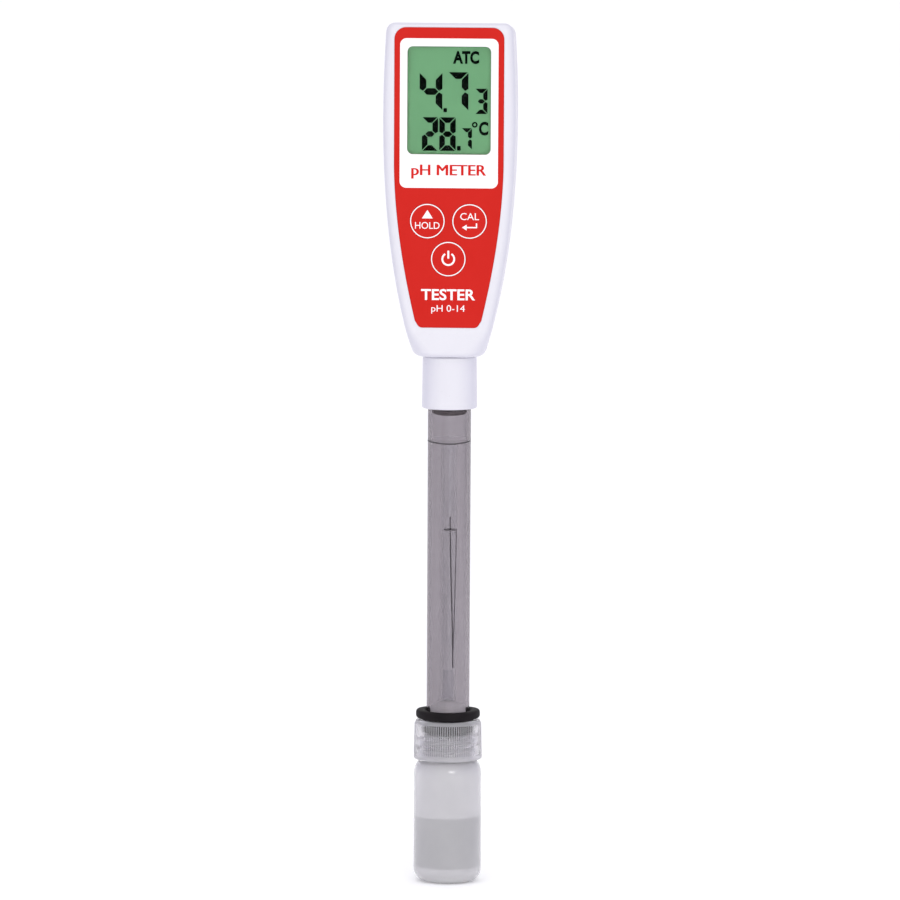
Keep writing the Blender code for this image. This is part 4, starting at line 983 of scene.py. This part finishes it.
def make_fill():
    """The gel round the probe's foot and in the stem, with a bubble beside the main wire. The foot's gel and
    the bubble glow faintly: painted light.
    """
    foot_radius, foot_low, foot_side, foot_top = 4.95 * MM, 43.0 * MM, 49.6 * MM, 51.4 * MM
    foot = [(0.0, foot_low), (foot_radius, foot_low), (foot_radius, foot_side), (0.0, foot_top)]
    # painted light: the foot's gel glows faintly through its finish
    add_piece("glowing_foot_gel", lathe(foot, 64), "electrode", "liquid", finish="glowing_foot_gel")
    lowest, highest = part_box("inner_fill")
    radius, top = highest.x, highest.z
    fill = [(0.0, lowest.z), (radius, lowest.z), (radius, top - 0.2 * MM)]
    fill += [(radius - 0.4 * MM, top - 0.35 * MM), (0.0, top - 0.4 * MM)]
    add_piece("stem_gel", lathe(fill, 48), "electrode", "liquid", ["inner_fill"], finish="gel")
    bubble = bmesh.new()
    place = Matrix.Translation((0.3 * MM, -0.75 * MM, 89.85 * MM))
    bmesh.ops.create_uvsphere(bubble, u_segments=24, v_segments=16, radius=0.42 * MM, matrix=place)
    # painted light: the bubble glows faintly through the jacket finish
    add_piece("stem_bubble", bubble, "electrode", "glass", finish="lead_jacket")


# ---- collar nut ----

def make_collar():
    """The collar nut, and the threaded spigot of the head that it screws on."""
    bottom, top = low("collar_nut").z, high("collar_nut").z + 0.15 * MM
    outer, edge, thread, hole = 7.5 * MM, 7.2 * MM, 6.75 * MM, 6.2 * MM
    shelf = bottom + 1.7 * MM
    profile = [(hole, bottom + 0.3 * MM), (6.5 * MM, bottom), (edge, bottom)]
    profile += arc((edge, bottom + 0.5 * MM), (0.5 * MM, 0.5 * MM), -80, 0, 6)
    profile += [(outer, top - 0.3 * MM), (edge, top), (6.85 * MM, top), (thread, top - 0.2 * MM)]
    profile += [(thread, shelf), (hole, shelf)]
    weigh_normals(add_piece("clamp_nut", lathe(profile, 128), "collar_nut", "white_abs", ["collar_nut"]))
    bottom, top = span("neck_bushing")
    bore, radius, flange, flange_low = 5.0 * MM, 6.1 * MM, 7.4 * MM, top - 1.4 * MM
    profile = [(bore, bottom), (radius, bottom), (radius, flange_low), (flange, flange_low)]
    profile += [(flange, top), (bore, top)]
    solid = lathe(rounded_profile(profile, 0.2 * MM), 96)
    add_piece("neck_spigot", solid, "meter", "white_abs", ["neck_bushing"])
    ridge = thread_ridge(radius, 0.25 * MM, bottom + 1.2 * MM, 2.0 * MM, 4.0, 0.0, 0.7 * MM)
    add_piece("spigot_thread", ridge, "meter", "white_abs")


# ---- storage bottle ----

BOTTLE_RADIUS = 9.45 * MM
NECK_RADIUS = 7.4 * MM
MOUTH_RADIUS = 6.4 * MM
FLOOR_TOP = 1.7 * MM
# below WET_LOW the bore under the liquid keeps the pale finish: painted light that makes the bottom read
# paler
WET_LOW = 4.3 * MM  # where the bottle's upright inner wall starts
CAP_PITCH, THREAD_DEPTH, THREAD_LOW = 2.5 * MM, 0.42 * MM, 35.6 * MM


def make_bottle():
    """The bottle and its liquid. Its bore has a pale finish above the liquid, and a dark one on the upright
    wall where it is wet. The floor and rounded corner under the liquid keep the pale finish, painted light
    that keeps the bottom pale.
    """
    top, surface = high("storage_bottle").z, high("storage_solution").z
    corner, inner = 3.7 * MM, BOTTLE_RADIUS - 1.0 * MM
    profile = [(0.0, 0.35 * MM), (3.4 * MM, 0.3 * MM), (4.6 * MM, 0.06 * MM), (5.2 * MM, 0.0)]
    profile += arc((BOTTLE_RADIUS - corner, corner), (corner, corner), -90, 0, 16)
    profile += arc((NECK_RADIUS, 30.0 * MM), (BOTTLE_RADIUS - NECK_RADIUS, 4.2 * MM), 0, 90, 18)
    profile += [(NECK_RADIUS, top - 0.3 * MM), (NECK_RADIUS - 0.3 * MM, top)]
    profile += [(MOUTH_RADIUS + 0.1 * MM, top), (MOUTH_RADIUS, top - 0.15 * MM)]
    profile += arc((MOUTH_RADIUS, 29.4 * MM), (inner - MOUTH_RADIUS, 3.2 * MM), 90, 0, 12)
    profile += [(inner, surface)]
    profile += arc((inner - 2.6 * MM, WET_LOW), (2.6 * MM, 2.6 * MM), 0, -90, 12)
    profile += [(0.0, FLOOR_TOP)]
    shape = lathe(profile, 128)
    bottle = add_piece("bottle", shape, "storage_bottle", "milky_plastic", ["storage_bottle"], 50)
    bottle.data.materials.append(FINISHES["dry_and_painted_pale_bore"])
    bottle.data.materials.append(FINISHES["wet_bore"])
    for face in bottle.data.polygons:
        x, y, z = face.center
        inward = x * face.normal.x + y * face.normal.y < 0.0
        inside = math.hypot(x, y) < inner + 0.01 * MM and z > FLOOR_TOP - 0.1 * MM
        if inside and (inward or face.normal.z > 0.9):
            # painted light: the floor and rounded corner under the liquid keep the pale finish
            face.material_index = 2 if WET_LOW < z < surface else 1
    ridge = thread_ridge(NECK_RADIUS, THREAD_DEPTH, THREAD_LOW, CAP_PITCH, 2.0, 0.6, 0.55 * MM)
    add_piece("bottle_thread", ridge, "storage_bottle", "milky_plastic")
    radius, gap = inner - 0.12 * MM, TUBE_RADIUS + 0.12 * MM
    tip, edge = low("electrode_tube").z - 0.3 * MM, surface - 0.35 * MM
    liquid = [(0.0, 1.85 * MM)]
    liquid += arc((radius - 2.4 * MM, WET_LOW), (2.4 * MM, 2.4 * MM), -90, 0, 10)
    liquid += [(radius, surface), (radius - 0.5 * MM, edge), (gap + 0.5 * MM, edge), (gap, surface)]
    liquid += [(gap, tip), (0.0, tip)]
    add_piece("solution", lathe(liquid, 96), "storage_bottle", "liquid", ["storage_solution"])


def make_cap():
    """The clear cap with its fine ribs. Its lower rim, shoulder and the ribs' crests are frosted."""
    bottom, top = span("storage_cap")
    roof, shoulder = top - 1.5 * MM, top - 1.1 * MM
    bore, rim, wide, narrow, hole = 8.1 * MM, 9.5 * MM, 9.3 * MM, 9.1 * MM, 7.2 * MM
    profile = [(bore, bottom + 0.2 * MM), (8.3 * MM, bottom), (wide, bottom), (rim, bottom + 0.2 * MM)]
    profile += [(rim, bottom + 0.9 * MM), (wide, bottom + 1.15 * MM), (wide, bottom + 1.4 * MM)]
    profile += [(narrow, shoulder), (narrow, top - 0.8 * MM), (narrow - 0.1 * MM, top - 0.4 * MM)]
    profile += [(narrow - 0.5 * MM, top), (7.4 * MM, top), (hole, top - 0.2 * MM), (hole, roof), (bore, roof)]
    ribbed = (6, 7)  # the two points of the profile that the ribs run between
    ribs, rib_depth = 90, 0.2 * MM

    def ripple(index, angle):
        return rib_depth * ((1 + math.cos(ribs * angle)) / 2) ** 2 if index in ribbed else 0.0

    shape = lathe(profile, ribs * 6, ripple=ripple)
    cap = add_piece("bottle_cap", shape, "storage_cap", "clear_plastic", ["storage_cap"], 50)
    cap.data.materials.append(FINISHES["frosted_crest"])
    for face in cap.data.polygons:
        ribless = not bottom + 1.5 * MM <= face.center.z <= shoulder + 0.05 * MM
        if math.hypot(face.center.x, face.center.y) > (8.7 * MM if ribless else wide):
            face.material_index = 1
    ridge = thread_ridge(bore, -THREAD_DEPTH, THREAD_LOW + CAP_PITCH / 2, CAP_PITCH, 2.2, 0.6, 0.5 * MM)
    add_piece("cap_thread", ridge, "storage_cap", "clear_plastic")


def make_grommet():
    """The rubber grommet, whose flange sags a little at its front and back."""
    bottom, top = low("cap_grommet").z + 0.3 * MM, high("cap_grommet").z + 0.2 * MM
    seat, flange_low = high("storage_cap").z - 1.8 * MM, high("cap_grommet").z - 2.3 * MM
    bore, foot, neck, flange = 6.2 * MM, 7.85 * MM, 6.9 * MM, 8.95 * MM
    profile = [(bore, bottom), (foot, bottom), (foot, seat), (neck, seat), (neck, flange_low)]
    profile += [(flange, flange_low), (flange, top), (bore, top)]
    bm = lathe(rounded_profile(profile, 1.1 * MM, 8), 120)
    for vert in bm.verts:
        share = ease((vert.co.z - seat - 0.8 * MM) / (1.4 * MM))
        side = (vert.co.x ** 2 - vert.co.y ** 2) / flange ** 2
        vert.co.z += share * 0.19 * MM * (side - 1)
    add_piece("grommet", bm, "cap_grommet", "black_rubber", ["cap_grommet"], 60)


# ---- stage, light and camera ----

def make_stage():
    bm = bmesh.new()
    bmesh.ops.create_grid(bm, x_segments=40, y_segments=40, size=12.0)
    mesh = bpy.data.meshes.new("floor")
    bm.to_mesh(mesh)
    bm.free()
    mesh.materials.append(FINISHES["floor"])
    new_object("floor", mesh)


def area_light(name, place, target, size, power):
    light = bpy.data.lights.new(name, "AREA")
    light.shape = "RECTANGLE"
    light.size, light.size_y = size
    light.energy = power
    lamp = new_object(name, light)
    lamp.location = place
    lamp.rotation_euler = (Vector(target) - Vector(place)).to_track_quat("-Z", "Y").to_euler()


def make_light():
    """A white studio with dimmer, cooler sides, and three lamps. The last lights the bottle's shoulder."""
    world = bpy.data.worlds.new("studio")
    world.use_nodes = True
    nodes, links = world.node_tree.nodes, world.node_tree.links
    background = nodes["Background"]
    background.inputs["Strength"].default_value = 1.03
    place = add_node(nodes, "TexCoord")
    parts = add_node(nodes, "SeparateXYZ")
    links.new(place.outputs["Generated"], parts.inputs["Vector"])
    sideways = add_node(nodes, "Math")
    sideways.operation = "ABSOLUTE"
    links.new(parts.outputs["X"], sideways.inputs[0])
    ramp = color_ramp(nodes, (0.25, 0.9), ((1.0, 1.0, 1.0), (0.7, 0.68, 0.83)))
    links.new(sideways.outputs[0], ramp.inputs["Fac"])
    links.new(ramp.outputs["Color"], background.inputs["Color"])
    bpy.context.scene.world = world
    middle = (0.0, 0.0, 0.13)
    area_light("key_light", (-0.9, -1.3, 1.0), middle, (0.8, 1.0), 0.8)
    area_light("top_light", (0.0, -0.25, 1.6), middle, (0.4, 0.16), 2.0)
    area_light("shoulder_light", (0.42, -1.5, 0.6), (0.0, 0.0, 0.03), (0.6, 0.16), 2.6)
    bpy.context.scene.view_settings.view_transform = "Standard"


def make_camera():
    """A long lens 2.4 m away, a little above the object and a little to its right."""
    distance, height, turn, lean = 2.4, 0.39, math.radians(2.8), math.radians(0.29)
    camera = bpy.data.cameras.new("camera")
    camera.sensor_width = 36.0
    camera.lens = 346.6
    camera.clip_end = 50.0
    holder = new_object("camera", camera)
    holder.location = (distance * math.sin(turn), -distance * math.cos(turn), height)
    aim = Vector((0.0002, 0.0, 0.1213)) - holder.location
    holder.rotation_mode = "QUATERNION"
    holder.rotation_quaternion = aim.to_track_quat("-Z", "Y") @ Matrix.Rotation(lean, 4, "Z").to_quaternion()
    bpy.context.scene.camera = holder


make_camera()
make_light()
make_stage()
dress_frame()
make_front_shell()
make_rear_shell()
make_seam_lip()
make_screws()
make_cover()
make_overlay()
make_display()
make_keys()
make_probe()
make_collar()
make_bottle()
make_cap()
make_grommet()
